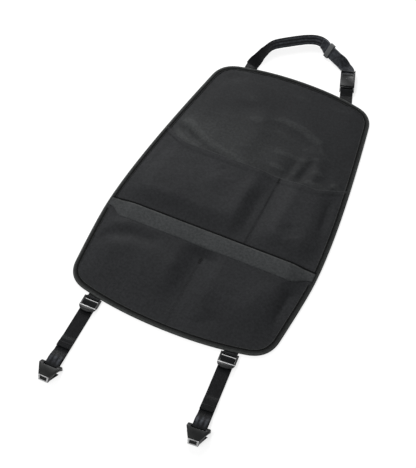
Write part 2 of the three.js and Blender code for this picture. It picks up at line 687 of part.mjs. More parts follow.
function buckleFemaleGeometry() {
  const half = BUCKLE_WIDTH / 2;
  const strapRoom = block(
    [-cheekInside, cheekInside], [FEMALE_END - 1, FEMALE_BODY_FROM], [-1, BUCKLE_HEIGHT + 1]);
  const cavity = block(
    [-cavityHalf, cavityHalf], [FEMALE_MOUTH - CAVITY_DEPTH, FEMALE_MOUTH + 1], [cavityBottom, cavityTop]);
  const windowEnd = FEMALE_MOUTH - WINDOW_FROM_MOUTH;
  const windows = block(
    [-half - 1, half + 1], [windowEnd - WINDOW_LENGTH, windowEnd], [cavityBottom, cavityTop]);
  const recessFrom = FEMALE_BODY_FROM + 3.5;
  const recess = block(
    [-TOP_RECESS_HALF_WIDTH, TOP_RECESS_HALF_WIDTH],
    [recessFrom, recessFrom + TOP_RECESS_LENGTH],
    [BUCKLE_HEIGHT - TOP_RECESS_DEPTH, BUCKLE_HEIGHT + 1]);
  const endBarZ = lowerLayerZ + layerStep + WEB / 2 + GAP + END_BAR_RADIUS;
  return geometryOf(housing(FEMALE_END, FEMALE_MOUTH, BUCKLE_WIDTH, 0, BUCKLE_HEIGHT)
    .subtract(strapRoom)
    .subtract(cavity)
    .subtract(windows)
    .subtract(recess)
    .add(bar(END_BAR_RADIUS, END_BAR_AT, endBarZ, 2 * cheekInside + BUCKLE_CHEEK))
    .add(bar(WRAP_BAR_RADIUS, WRAP_BAR_AT, wrapBarZ, 2 * cheekInside + BUCKLE_CHEEK)));
}

function buckleMaleGeometry() {
  const from = FEMALE_MOUTH + GAP;
  const base = housing(from, MALE_END, BUCKLE_WIDTH, 0.8, BUCKLE_HEIGHT - 0.8);
  const room = block(
    [-cheekInside, cheekInside], [from + MALE_FLANGE, MALE_END + 1], [-1, BUCKLE_HEIGHT + 1]);
  const reach = [from - PRONG_LENGTH, from + 1];
  const low = cavityBottom + 0.8;
  const high = cavityTop - 0.8;
  const guide = block([-GUIDE_WIDTH / 2, GUIDE_WIDTH / 2], [from - PRONG_LENGTH - 1, from + 1], [low, high]);
  const armOut = cavityHalf - 1.6;
  const tip = from - PRONG_LENGTH;
  const barb = BUCKLE_WIDTH / 2 - 1;
  const prongs = [1, -1].map((side) => {
    const arm = block([side > 0 ? armOut - PRONG_WIDTH : -armOut, side > 0 ? armOut : PRONG_WIDTH - armOut],
      reach, [low, high]);
    const tooth = polygon([
      [side * (armOut - 0.5), -tip],
      [side * barb, -tip - BARB_LENGTH * 0.55],
      [side * barb, -tip - BARB_LENGTH],
      [side * (armOut - 0.5), -tip - BARB_LENGTH],
    ]);
    return arm.add(slab(tooth, low, high));
  });
  return geometryOf(base
    .subtract(room)
    .add(guide)
    .add(prongs[0])
    .add(prongs[1])
    .add(bar(MALE_BAR_RADIUS, MALE_BAR_AT, MALE_BAR_Z, 2 * cheekInside + BUCKLE_CHEEK)));
}

// Headrest strap

// Curved stretch: the strap's lower edge on the floor [x, y above the panel, height] and its tilt in degrees
const STRAP_CURVE = [
  [-92.2, -5.4, 2.4, 14],
  [-91.4, 1, 2.4, 30],
  [-90.4, 8, 2.4, 42],
  [-90.2, 17, 1.6, 53],
  [-90.6, 27, 0.9, 64],
  [-89.2, 38, 0.9, 74],
  [-86.6, 51, 0.9, 80],
  [-81.6, 60.5, 0.9, 82],
  [-70.5, 70.5, 0.9, 82],
  [-56.5, 81, 0.9, 81],
  [-39, 94, 0.9, 82],
  [-24, 103.5, 0.9, 84],
  [-9, 108.3, 0.9, 83],
  [0.5, 106.5, 1.2, 77],
  [8.5, 99.8, 2.4, 64],
];
const STRAP_CURVE_STEPS = 44;
const STRAP_FLAT_LEAD = 8;
const STRAP_TWIST_STEPS = 8;
const TAIL_STATIONS_BACK = 5;

// A station across the strap: centre, direction of its width from lower to upper edge, and face normal
function station(inner, outer, along) {
  const width = outer.clone().sub(inner).normalize();
  const centre = inner.clone().add(outer).multiplyScalar(0.5);
  const normal = new THREE.Vector3().crossVectors(along, width).normalize();
  return { centre, width, normal };
}

// A station whose lower edge is at a point and whose width is tilted up from the floor
function tiltedStation(edge, along, tilt) {
  const outward = new THREE.Vector3(-along.y, along.x, 0);
  const reach = outward.multiplyScalar(Math.cos(tilt)).setZ(Math.sin(tilt)).multiplyScalar(WEB_WIDTH);
  return station(edge, edge.clone().add(reach), along);
}

// Stations of the curved stretch, from the sewn root to the slider
function curvedStations(lastEdge) {
  const edges = STRAP_CURVE.map(([x, y, z]) => new THREE.Vector3(x, panelTop + y, z));
  const inner = new THREE.CatmullRomCurve3([...edges, lastEdge], false, 'centripetal');
  const tilts = [...STRAP_CURVE.map((row) => row[3]), THREE.MathUtils.radToDeg(SLIDER_TILT)];
  return Array.from({ length: STRAP_CURVE_STEPS }, (_, i) => {
    const t = i / STRAP_CURVE_STEPS;
    const place = t * (tilts.length - 1);
    const row = Math.floor(place);
    const eased = smooth(place - row, 0, 1) * 0.4 + (place - row) * 0.6;
    const tilt = THREE.MathUtils.degToRad(THREE.MathUtils.lerp(tilts[row], tilts[row + 1], eased));
    return tiltedStation(inner.getPoint(t), inner.getTangent(t).setZ(0).normalize(), tilt);
  });
}

// Corner of the strap's route, just before the buckle
const buckleHeading = BUCKLE_TURN - Math.PI / 2;
const buckleCentre = new THREE.Vector2(BUCKLE_X, panelTop + BUCKLE_ABOVE_PANEL);
const buckleAxis = new THREE.Vector2(Math.cos(buckleHeading), Math.sin(buckleHeading));
const strapCorner = buckleCentre.clone().addScaledVector(buckleAxis, END_BAR_AT - STRAP_CORNER_BEFORE_BUCKLE);
const sliderCentre = new THREE.Vector2(SLIDER_X, panelTop + SLIDER_ABOVE_PANEL);
const sliderHeading = strapCorner.clone().sub(sliderCentre).angle();

// Height of the strap's lower edge where the tilted slider's corner rests on the floor
const tiltedEdgeZ = (GAP + SLIDER_SIDE) * Math.sin(SLIDER_TILT) + lowerLayerZ * Math.cos(SLIDER_TILT);

// A station over a point of the strap's flat centre line, tilted by a share of the slider's tilt
function straightStation(x, y, heading, share) {
  const along = new THREE.Vector3(Math.cos(heading), Math.sin(heading), 0);
  const z = THREE.MathUtils.lerp(lowerLayerZ, tiltedEdgeZ, share);
  const toEdge = new THREE.Vector3(along.y, -along.x, 0);
  const edge = new THREE.Vector3(x, y, z).addScaledVector(toEdge, WEB_WIDTH / 2);
  return tiltedStation(edge, along, SLIDER_TILT * share);
}

// Stations from just before the slider, where the strap is tilted, to the bar that it wraps, where it is flat
function straightStations() {
  const straight = new THREE.Vector2(Math.cos(sliderHeading), Math.sin(sliderHeading));
  const places = [-STRAP_FLAT_LEAD, ...steps(STRAP_TWIST_FROM, STRAP_TWIST_TO, STRAP_TWIST_STEPS)];
  const stations = places.map((s) => {
    const point = sliderCentre.clone().addScaledVector(straight, s);
    return straightStation(point.x, point.y, sliderHeading, 1 - smooth(s, STRAP_TWIST_FROM, STRAP_TWIST_TO));
  });
  const bendStart = strapCorner.clone().addScaledVector(straight, -STRAP_CORNER_REACH);
  const bendEnd = strapCorner.clone().addScaledVector(buckleAxis, STRAP_CORNER_REACH);
  const bend = new THREE.QuadraticBezierCurve(bendStart, strapCorner, bendEnd);
  for (let i = 0; i <= 6; i += 1) {
    const point = bend.getPoint(i / 6);
    stations.push(straightStation(point.x, point.y, bend.getTangent(i / 6).angle(), 0));
  }
  const wrap = buckleCentre.clone().addScaledVector(buckleAxis, WRAP_BAR_AT);
  stations.push(straightStation(wrap.x, wrap.y, buckleHeading, 0));
  return stations;
}

// The strap round the wrap bar and back under the end bar, in the buckle's own side profile
function wrapStations() {
  const tailZ = lowerLayerZ + layerStep;
  const path = [
    ...arc(WRAP_BAR_AT, wrapBarZ, wrapRadius, -60, 120, 8),
    new THREE.Vector2(END_BAR_AT + 3, tailZ + 0.4),
    new THREE.Vector2(END_BAR_AT + 1, tailZ),
  ];
  return path.map((point, i) => {
    const before = path[Math.max(i - 1, 0)];
    const after = path[Math.min(i + 1, path.length - 1)];
    const along = after.clone().sub(before).normalize();
    const place = buckleCentre.clone().addScaledVector(buckleAxis, point.x);
    const width = new THREE.Vector3(-buckleAxis.y, buckleAxis.x, 0);
    const direction = new THREE.Vector3(buckleAxis.x * along.x, buckleAxis.y * along.x, along.y);
    const normal = new THREE.Vector3().crossVectors(direction, width).normalize();
    return { centre: new THREE.Vector3(place.x, place.y, point.y), width, normal };
  });
}

// Joins rectangular sections into one closed band; the tail's faces are split the way its base layer's are
function ribbon(stations, splitOther) {
  const positions = [];
  const faces = [];
  for (const { centre, width, normal } of stations) {
    for (const [side, up] of [[-1, -1], [1, -1], [1, 1], [-1, 1]]) {
      const corner = centre.clone()
        .addScaledVector(width, (side * WEB_WIDTH) / 2)
        .addScaledVector(normal, (up * WEB) / 2);
      positions.push(corner.x, corner.y, corner.z);
    }
  }
  for (let i = 0; i + 1 < stations.length; i += 1) {
    for (let k = 0; k < 4; k += 1) {
      const [a, b] = [i * 4 + k, i * 4 + ((k + 1) % 4)];
      const [c, d] = [b + 4, a + 4];
      const flip = splitOther(i) !== (k >= 2);
      faces.push(...(flip ? [a, b, d, b, c, d] : [a, b, c, a, c, d]));
    }
  }
  const last = (stations.length - 1) * 4;
  faces.push(0, 2, 1, 0, 3, 2, last, last + 1, last + 2, last, last + 2, last + 3);
  const geometry = new THREE.BufferGeometry();
  geometry.setAttribute('position', new THREE.BufferAttribute(new Float32Array(positions), 3));
  geometry.setIndex(faces);
  geometry.computeVertexNormals();
  return geometry;
}

function headrestStrapGeometry() {
  const straight = straightStations();
  const firstEdge = straight[0].centre.clone().addScaledVector(straight[0].width, -WEB_WIDTH / 2);
  const base = [...curvedStations(firstEdge), ...straight];
  const back = base.slice(STRAP_CURVE_STEPS - TAIL_STATIONS_BACK, -1).reverse().map((s) => ({
    centre: s.centre.clone().addScaledVector(s.normal, layerStep),
    width: s.width,
    normal: s.normal.clone().negate(),
  }));
  const wrap = wrapStations();
  const all = [...base, ...wrap, ...back];
  return ribbon(all, (i) => i >= base.length + wrap.length - 1);
}

// Slider: a flat loop round both layers of the headrest strap
function sliderGeometry() {
  const inner = WEB_WIDTH / 2 + GAP;
  const outer = inner + SLIDER_SIDE;
  const roomTop = SLIDER_FLOOR + GAP + WEB + layerStep + GAP;
  const top = roomTop + SLIDER_WALL;
  const half = SLIDER_LENGTH / 2;
  const side = polygon([
    [-half, 0.6], [-half + 0.6, 0], [half - 0.6, 0], [half, 0.6],
    [half, top - 1], [half - 1, top], [1 - half, top], [-half, top - 1],
  ]);
  const room = block([-inner, inner], [-half - 1, half + 1], [SLIDER_FLOOR, roomTop]);
  return geometryOf(across(side, 2 * outer).subtract(room));
}

// The slider turned to the strap's heading and tilted about the strap's lower edge
function sliderPlace() {
  const aside = new THREE.Vector2(Math.sin(sliderHeading), -Math.cos(sliderHeading));
  const edge = sliderCentre.clone().addScaledVector(aside, WEB_WIDTH / 2);
  return new THREE.Matrix4().makeTranslation(edge.x, edge.y, tiltedEdgeZ)
    .multiply(new THREE.Matrix4().makeRotationZ(sliderHeading + Math.PI / 2))
    .multiply(new THREE.Matrix4().makeRotationY(-SLIDER_TILT))
    .multiply(new THREE.Matrix4().makeTranslation(WEB_WIDTH / 2, 0, -lowerLayerZ));
}

// Root tab of the headrest strap, flat on the floor and tucked under the panel
function headrestTabGeometry() {
  const half = WEB_WIDTH / 2;
  return geometryOf(block([-half, half], [-TAB_BEYOND_PANEL, TAB_TUCK], [0, WEB]));
}

// The model

const CLOTH = { roughness: 0.9, metalness: 0 };
const WEBBING = { roughness: 0.75, metalness: 0 };
const MOULDING = { roughness: 0.45, metalness: 0 };
const COLOURS = {
  panel: 0x323333, pocket: 0x303133, band: 0x404241, binding: 0x26282a,
  web: 0x15161a, moulding: 0x1d1f20, slider: 0x55585a, hook: 0x3b3e3e,
};

function piece(name, geometry, color, finish) {
  const mesh = new THREE.Mesh(geometry, new THREE.MeshStandardMaterial({ color, ...finish }));
  mesh.name = name;
  return mesh;
}

function placedGroup(matrix, pieces) {
  const group = new THREE.Group();
  group.applyMatrix4(matrix);
  group.add(...pieces);
  return group;
}

// One lower strap with its loop, lock and hook
function lowerStrap(side, place, tailAt) {
  const loop = loopGeometry(lockRing, TOP_BAR_RADIUS, lockRing + 0.7, Math.PI, STRAP_TUCK);
  return placedGroup(place, [
    piece(`${side}_lock_loop`, loop, COLOURS.web, WEBBING),
    piece(`${side}_ladder_lock`, ladderLockGeometry(), COLOURS.moulding, MOULDING),
    piece(`${side}_strap`, strapGeometry(tailAt), COLOURS.web, WEBBING),
    piece(`${side}_hook`, hookGeometry(), COLOURS.hook, MOULDING),
  ]);
}

const buckleTail = STRAP_TUCK + BUCKLE_ABOVE_PANEL - MALE_BAR_AT;
const buckleLoopTurn = THREE.MathUtils.degToRad(135);
const buckleLoop = loopGeometry(
  MALE_BAR_Z, MALE_BAR_RADIUS, BUCKLE_LOOP_CLOSES, buckleLoopTurn, buckleTail);

const model = new THREE.Group();
model.add(
  piece('back_panel', backPanel(), COLOURS.panel, CLOTH),
  piece('edge_binding', edgeBinding(), COLOURS.binding, CLOTH),
  piece('upper_pocket', upperPocket(), COLOURS.pocket, CLOTH),
  piece('lower_pocket', lowerPocket(), COLOURS.pocket, CLOTH),
  piece('lower_pocket_band', lowerPocketBand(), COLOURS.band, CLOTH),
  piece('headrest_strap', headrestStrapGeometry(), COLOURS.web, WEBBING),
  lowerStrap('left', leftPlace, LEFT_TAIL_AT),
  lowerStrap('right', rightPlace, RIGHT_TAIL_AT),
  placedGroup(tabPlace, [piece('headrest_tab', headrestTabGeometry(), COLOURS.web, WEBBING)]),
  placedGroup(bucklePlace, [
    piece('buckle_female', buckleFemaleGeometry(), COLOURS.moulding, MOULDING),
    piece('buckle_male', buckleMaleGeometry(), COLOURS.moulding, MOULDING),
  ]),
  placedGroup(buckleStrapPlace, [piece('buckle_strap', buckleLoop, COLOURS.web, WEBBING)]),
  placedGroup(sliderPlace(), [
    piece('strap_slider', sliderGeometry(), COLOURS.slider, MOULDING),
  ]),
);

export default model;
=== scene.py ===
"""Seat back protector with pockets, dressed for a studio picture.

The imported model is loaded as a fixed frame. The cloth panel, its binding, the pockets, all the
webbing and the stitches are made here, and the mouldings get softened edges. The part lies on its
back: +Y points to the headrest strap, +Z out of the pocket side. Sizes are in millimetres and
become metres when a mesh is made.
"""

from __future__ import annotations

import logging
import math
from dataclasses import dataclass, field
from enum import Enum
from functools import reduce
from typing import Callable, Iterable, Sequence

import bmesh
import bpy
import numpy as np
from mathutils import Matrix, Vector

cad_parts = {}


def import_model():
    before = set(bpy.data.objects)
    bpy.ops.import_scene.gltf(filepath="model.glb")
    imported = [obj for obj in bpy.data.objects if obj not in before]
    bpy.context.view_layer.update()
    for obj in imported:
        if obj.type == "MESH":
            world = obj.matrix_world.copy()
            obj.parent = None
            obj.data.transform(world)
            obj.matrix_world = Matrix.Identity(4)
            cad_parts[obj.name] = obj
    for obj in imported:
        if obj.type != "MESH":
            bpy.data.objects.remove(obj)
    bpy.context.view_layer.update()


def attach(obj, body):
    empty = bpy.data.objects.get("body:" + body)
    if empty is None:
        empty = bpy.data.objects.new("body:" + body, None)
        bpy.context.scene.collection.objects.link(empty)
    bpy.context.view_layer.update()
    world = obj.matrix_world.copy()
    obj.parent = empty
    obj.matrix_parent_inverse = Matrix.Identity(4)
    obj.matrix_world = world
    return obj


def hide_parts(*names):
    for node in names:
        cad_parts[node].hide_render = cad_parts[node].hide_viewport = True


LOG = logging.getLogger("seat_back_protector")
MM = 0.001
SEED = 7
NOISE_CELLS = 64
NOISE_SHIFT = 31.0
FOLD_STEPS = 40
FOLD_FADE = 0.3
FOLD_END = 0.15
RIM_ROUND = 0.7
FLAT_ANGLE = math.radians(0.6)
SOFTENED_ANGLE = math.radians(34.0)
SHARP_ANGLE = math.radians(38.0)
BUCKLE_TURN = math.radians(17.8)
TAB_X = -105.0

Array = np.ndarray
Amount = np.ndarray | float
Object = bpy.types.Object
Material = bpy.types.Material
Tree = bpy.types.NodeTree
Node = bpy.types.Node
Socket = bpy.types.NodeSocket
Colour = tuple[float, float, float]
Profile = Sequence[tuple[float, float]]
Outputs = bpy.types.NodeOutputs
Inputs = dict[str | int, object]
Sockets = dict[str, Socket]
Highlighted = Callable[[Vector, bool], bool]
Score = tuple[Array, Array]


class Body(Enum):
    """The bodies that move by themselves."""

    PROTECTOR = "protector"
    SLIDER = "slider"
    LEFT_STRAP = "left_strap_set"
    RIGHT_STRAP = "right_strap_set"
    LEFT_HOOK = "left_hook_body"
    RIGHT_HOOK = "right_hook_body"


class Slot(Enum):
    """The record's material slots."""

    PANEL = "panel_cloth"
    POCKET = "pocket_cloth"
    BAND = "band_cloth"
    BINDING = "binding"
    WEBBING = "webbing"
    MOULDING = "moulding"
    SLIDER = "slider"
    HOOK = "hook"


# Small geometry helpers


def smoothstep(value: Amount, low: float, high: float) -> Array:
    """A soft step from 0 at low to 1 at high."""
    t = np.clip((np.asarray(value, float) - low) / (high - low), 0.0, 1.0)
    return t * t * (3.0 - 2.0 * t)


def bell(value: Array, width: Amount) -> Array:
    """A soft fall from 1 at zero, down to about a third at the width."""
    return np.exp(-((value / width) ** 2))


def lerp(a: Amount, b: Amount, t: Amount) -> Array:
    """A value between a and b."""
    return a + (b - a) * t


def arc_lengths(points: Array) -> Array:
    """The distance along a line of points, from its first point."""
    return np.concatenate([[0.0], np.cumsum(np.linalg.norm(np.diff(points, axis=0), axis=1))])


def resample(points: Array, count: int) -> Array:
    """Spreads points evenly along a line.

    Args:
        points: The line, one row for each point.
        count: How many points to return, both ends included.

    Returns:
        The evenly spaced points.
    """
    along = arc_lengths(points)
    wanted = np.linspace(0.0, along[-1], count)
    return np.stack([np.interp(wanted, along, points[:, k]) for k in range(points.shape[1])], axis=1)


def unit(vectors: Array) -> Array:
    """The vectors at length 1."""
    return vectors / np.maximum(np.linalg.norm(vectors, axis=-1, keepdims=True), 1e-9)


def mirrored(points: Array) -> Array:
    """The points with X turned over."""
    return points * np.array([-1.0, 1.0])


def point(x: float, y: float) -> Array:
    """A point on the plan."""
    return np.array([x, y], float)


def toward(start: Array, end: Array, reach: float) -> Array:
    """The point at a distance from one point toward another."""
    return start + unit(end - start) * reach


def bent(start: Array, control: Array, end: Array, t: Array) -> Array:
    """Points on a curve that leaves and ends along the lines to its control point."""
    return start * (1 - t) ** 2 + 2 * control * t * (1 - t) + end * t**2


def numbered(rows: int, columns: int) -> Array:
    """The numbers of a grid's points, row by row."""
    return np.arange(rows * columns).reshape(rows, columns)


def grid_faces(number: Array) -> Array:
    """The four corner numbers of each cell in a grid of point numbers."""
    corners = [number[:-1, :-1], number[:-1, 1:], number[1:, 1:], number[1:, :-1]]
    return np.stack(corners, axis=-1).reshape(-1, 4)


def rim_of(number: Array) -> Array:
    """The point numbers round a grid's rim."""
    return np.concatenate([number[0, :-1], number[:-1, -1], number[-1, :0:-1], number[:0:-1, 0]])


def coons(bottom: Array, right: Array, top: Array, left: Array, columns: int, rows: int) -> Array:
    """Fills four joined edges with a smooth grid.

    Args:
        bottom: Edge from left to right.
        right: Edge from bottom to top.
        top: Edge from left to right.
        left: Edge from bottom to top.
        columns: Cells across.
        rows: Cells up.

    Returns:
        Plan points as an array of rows, columns and two coordinates.
    """
    b, t = resample(bottom, columns + 1), resample(top, columns + 1)
    r, le = resample(right, rows + 1), resample(left, rows + 1)
    u = np.linspace(0, 1, columns + 1)[None, :, None]
    v = np.linspace(0, 1, rows + 1)[:, None, None]
    across = lerp(le[:, None, :], r[:, None, :], u)
    upward = lerp(b[None, :, :], t[None, :, :], v)
    corners = lerp(lerp(b[0], b[-1], u), lerp(t[0], t[-1], u), v)
    return across + upward - corners


def linked(name: str, data: bpy.types.ID) -> Object:
    """Puts a mesh, lamp or camera into the scene.

    Args:
        name: The object's name.
        data: What it holds.

    Returns:
        The object, untransformed.
    """
    made = bpy.data.objects.new(name, data)
    bpy.context.scene.collection.objects.link(made)
    return made


def make_object(name: str, points: Array, faces: Iterable[Sequence[int]], outward: bool = True) -> Object:
    """Makes a mesh object with its place in its mesh.

    Args:
        name: The piece's name.
        points: Corner points in millimetres.
        faces: Corner numbers of each face.
        outward: Whether to turn all faces outward.

    Returns:
        The linked object.
    """
    mesh = bpy.data.meshes.new(name)
    mesh.from_pydata((np.asarray(points, float) * MM).tolist(), [], [list(f) for f in faces])
    mesh.validate()
    if outward:
        bm = bmesh.new()
        bm.from_mesh(mesh)
        bmesh.ops.recalc_face_normals(bm, faces=bm.faces)
        bm.to_mesh(mesh)
        bm.free()
    mesh.shade_smooth()
    return linked(name, mesh)


def set_attribute(piece: Object, name: str, values: Array) -> None:
    """Stores one number at each corner point of a piece."""
    attribute = piece.data.attributes.new(name, "FLOAT", "POINT")
    attribute.data.foreach_set("value", np.ascontiguousarray(values, np.float32).ravel())


def set_uv(piece: Object, across: Array, along: Array) -> None:
    """Gives a piece made of rings a UV map in metres.

    Args:
        piece: The piece, its points in rings.
        across: Distance round the ring of each of its points, in millimetres.
        along: Distance of each ring along the piece.
    """
    uv = np.stack(np.broadcast_arrays(across[None, :], along[:, None]), axis=-1).reshape(-1, 2) * MM
    layer = piece.data.uv_layers.new(name="UVMap")
    corner = np.empty(len(piece.data.loops), np.int64)
    piece.data.loops.foreach_get("vertex_index", corner)
    layer.data.foreach_set("uv", uv[corner].astype(np.float32).ravel())


def baked(piece: Object) -> Object:
    """Turns a piece's modifiers into its plain mesh.

    Args:
        piece: An object with live modifiers.

    Returns:
        The same object, its modifiers gone and their result kept.
    """
    graph = bpy.context.evaluated_depsgraph_get()
    mesh = bpy.data.meshes.new_from_object(piece.evaluated_get(graph), depsgraph=graph)
    old = piece.data
    piece.modifiers.clear()
    piece.data = mesh
    mesh.name = piece.name
    bpy.data.meshes.remove(old)
    return piece


def value_noise(x: Array, y: Array, size: float, seed: int) -> Array:
    """Smooth random heights between -1 and 1.

    Args:
        x, y: Coordinates of the points.
        size: Distance over which the value changes.
        seed: Fixed seed.

    Returns:
        One value for each point.
    """
    table = np.random.default_rng(seed).uniform(-1.0, 1.0, (NOISE_CELLS, NOISE_CELLS))
    gx, gy = np.asarray(x) / size + NOISE_SHIFT, np.asarray(y) / size + NOISE_SHIFT
    ix, iy = np.floor(gx).astype(int), np.floor(gy).astype(int)
    fx, fy = smoothstep(gx - ix, 0, 1), smoothstep(gy - iy, 0, 1)
    rows = [
        lerp(table[row % NOISE_CELLS, ix % NOISE_CELLS], table[row % NOISE_CELLS, (ix + 1) % NOISE_CELLS], fx)
        for row in (iy, iy + 1)
    ]
    return lerp(*rows, fy)


# Shader node groups and finishes


class Graph:
    """Short calls for adding nodes to a tree."""

    def __init__(self, tree: Tree) -> None:
        """Keeps the tree to work on."""
        self.tree = tree

    def feed(self, node: Node, inputs: Inputs) -> None:
        """Fills a node's inputs.

        Args:
            node: The node.
            inputs: For each input, by name or number, an output to link or a value of its own.
        """
        for key, value in inputs.items():
            if isinstance(value, Socket):
                self.tree.links.new(value, node.inputs[key])
            else:
                node.inputs[key].default_value = value

    def add(self, kind: str, inputs: Inputs | None = None, **settings: object) -> Node:
        """Adds a node.

        Args:
            kind: Its type.
            inputs: What it is fed, as in feed.
            settings: Its properties.

        Returns:
            The node.
        """
        node = self.tree.nodes.new(kind)
        for key, value in settings.items():
            setattr(node, key, value)
        self.feed(node, inputs or {})
        return node

    def math(self, operation: str, *values: object) -> Socket:
        """The result of a Math node."""
        return self.add("ShaderNodeMath", dict(enumerate(values)), operation=operation).outputs[0]

    def product(self, *values: object) -> Socket:
        """Several numbers multiplied in order."""
        return reduce(lambda a, b: self.math("MULTIPLY", a, b), values)

    def ranged(self, value: object, low: float, high: float, out_low: float, out_high: float) -> Socket:
        """A value mapped from one range to another and kept there."""
        values = (value, low, high, out_low, out_high)
        return self.add("ShaderNodeMapRange", dict(enumerate(values)), clamp=True).outputs[0]

    def mixed(self, factor: object, a: Colour, b: Colour) -> Socket:
        """A mix of two colours."""
        inputs = {0: factor, 6: (*a, 1.0), 7: (*b, 1.0)}
        return self.add("ShaderNodeMix", inputs, data_type="RGBA").outputs[2]

    def blended(self, factor: object, a: object, b: object) -> Socket:
        """A mix of two numbers."""
        return self.add("ShaderNodeMix", {0: factor, 2: a, 3: b}, data_type="FLOAT").outputs[0]

    def shaded(self, colour: Socket, shade: Socket) -> Socket:
        """A colour made lighter or darker."""
        return self.add("ShaderNodeVectorMath", {0: colour, "Scale": shade}, operation="SCALE").outputs[0]

    def noise(self, vector: object, scale: object, detail: float = 2.0) -> Socket:
        """The value of a soft noise."""
        return self.add("ShaderNodeTexNoise", {"Vector": vector, "Scale": scale, "Detail": detail}).outputs[0]

    def attribute(self, name: str) -> Socket:
        """The number that a mesh stores under a name."""
        return self.add("ShaderNodeAttribute", attribute_name=name).outputs["Fac"]

    def bump(self, height: Socket, strength: float, distance: float) -> Socket:
        """The normal of a surface with fine relief, its depth in metres."""
        inputs = {"Strength": strength, "Distance": distance, "Height": height}
        return self.add("ShaderNodeBump", inputs).outputs[0]


class ShaderKit:
    """The shader effects that several finishes share, each built once as a node group."""

    def __init__(self) -> None:
        """Builds the groups."""
        self.weave = self._group("Plain Weave", self._weave, Pitch=0.0006)
        self.ribs = self._group("Webbing Ribs", self._ribs, Rib_Pitch=0.0011, Pick_Pitch=0.0016)
        self.tone = self._group(
            "Cloth Tone", self._tone, Patch_Scale=13.0, Mottle_Scale=210.0, Fleck_Scale=900.0)
        self.grain = self._group("Moulded Grain", self._grain, Scale=1600.0, Smear_Scale=90.0)
        # Painted highlights on the mouldings' edges, broken up by noise.
        self.edge_highlight = self._group("Painted Edge Highlight", self._edge_highlight, Edge=0.0, Break_Scale=260.0)

    @staticmethod
    def _group(
        name: str, wire: Callable[[Graph, Outputs], Sockets], **inputs: float
    ) -> Tree:
        """Builds a node group.

        Args:
            name: The group's name.
            wire: Adds the group's nodes between its inputs and the outputs that it returns by name.
            inputs: The numbers that the group is given besides a vector, with their usual values.

        Returns:
            The group.
        """
        tree = bpy.data.node_groups.new(name, "ShaderNodeTree")
        tree.interface.new_socket(name="Vector", in_out="INPUT", socket_type="NodeSocketVector")
        for label, value in inputs.items():
            label = label.replace("_", " ")
            socket = tree.interface.new_socket(name=label, in_out="INPUT", socket_type="NodeSocketFloat")
            socket.default_value = value
        g = Graph(tree)
        results = wire(g, g.add("NodeGroupInput").outputs)
        for label in results:
            tree.interface.new_socket(name=label, in_out="OUTPUT", socket_type="NodeSocketFloat")
        g.feed(g.add("NodeGroupOutput"), results)
        return tree

    @staticmethod
    def _weave(g: Graph, given: Outputs) -> Sockets:
        """Plain weave: threads that pass over and under each other.

        Args:
            g: The group's graph.
            given: What the group is given.

        Returns:
            The cloth's height.
        """
        parts = g.add("ShaderNodeSeparateXYZ", {0: given["Vector"]}).outputs
        turns = [g.math("DIVIDE", parts[k], given["Pitch"]) for k in (0, 1)]
        waves = [g.math("SINE", g.product(turn, math.pi)) for turn in turns]
        over = g.math("GREATER_THAN", g.product(*waves), 0.0)
        warp, weft = (g.math("ABSOLUTE", wave) for wave in waves)
        warp_over, weft_over = (
            g.product(g.math("POWER", thread, 0.6), g.math("MULTIPLY_ADD", crossing, 0.45, 0.55))
            for thread, crossing in ((warp, weft), (weft, warp))
        )
        return {"Height": g.blended(over, weft_over, warp_over)}

    @staticmethod
    def _ribs(g: Graph, given: Outputs) -> Sockets:
        """Webbing weave: fine ribs along the strap, broken like bricks.

        Args:
            g: The group's graph.
            given: What the group is given.

        Returns:
            The webbing's height.
        """
        parts = g.add("ShaderNodeSeparateXYZ", {0: given["Vector"]}).outputs
        column = g.math("DIVIDE", parts[0], given["Rib Pitch"])
        row = g.math("DIVIDE", parts[1], given["Pick Pitch"])
        row = g.math("MULTIPLY_ADD", g.math("FLOOR", column), 0.5, row)
        rib, pick = (g.math("SINE", g.product(g.math("FRACT", turn), math.pi)) for turn in (column, row))
        return {"Height": g.product(g.math("POWER", rib, 0.5), g.math("MULTIPLY_ADD", pick, 0.5, 0.5))}

    @staticmethod
    def _tone(g: Graph, given: Outputs) -> Sockets:
        """Slow changes of tone over cloth, with fine flecks."""
        details = (("Patch", 3.0), ("Mottle", 3.0), ("Fleck", 1.0))
        return {label: g.noise(given["Vector"], given[f"{label} Scale"], detail) for label, detail in details}

    @staticmethod
    def _grain(g: Graph, given: Outputs) -> Sockets:
        """Fine grain of a moulded surface and slow smears over it."""
        spot = given["Vector"]
        return {"Height": g.noise(spot, given["Scale"]), "Smear": g.noise(spot, given["Smear Scale"], 3.0)}

    @staticmethod
    def _edge_highlight(g: Graph, given: Outputs) -> Sockets:
        """Breaks up the painted highlights on a moulding's edges with noise."""
        broken = g.ranged(g.noise(given["Vector"], given["Break Scale"], 3.0), 0.3, 0.6, 0.45, 1.0)
        return {"Mask": g.product(given["Edge"], broken)}

    @staticmethod
    def use(graph: Graph, group: Tree, **values: object) -> Outputs:
        """Places a group in a material.

        Args:
            graph: The material's graph.
            group: The node group.
            values: Its inputs, with underscores for spaces in their names.

        Returns:
            The group node's outputs.
        """
        inputs = {key.replace("_", " "): value for key, value in values.items()}
        return graph.add("ShaderNodeGroup", inputs, node_tree=group).outputs


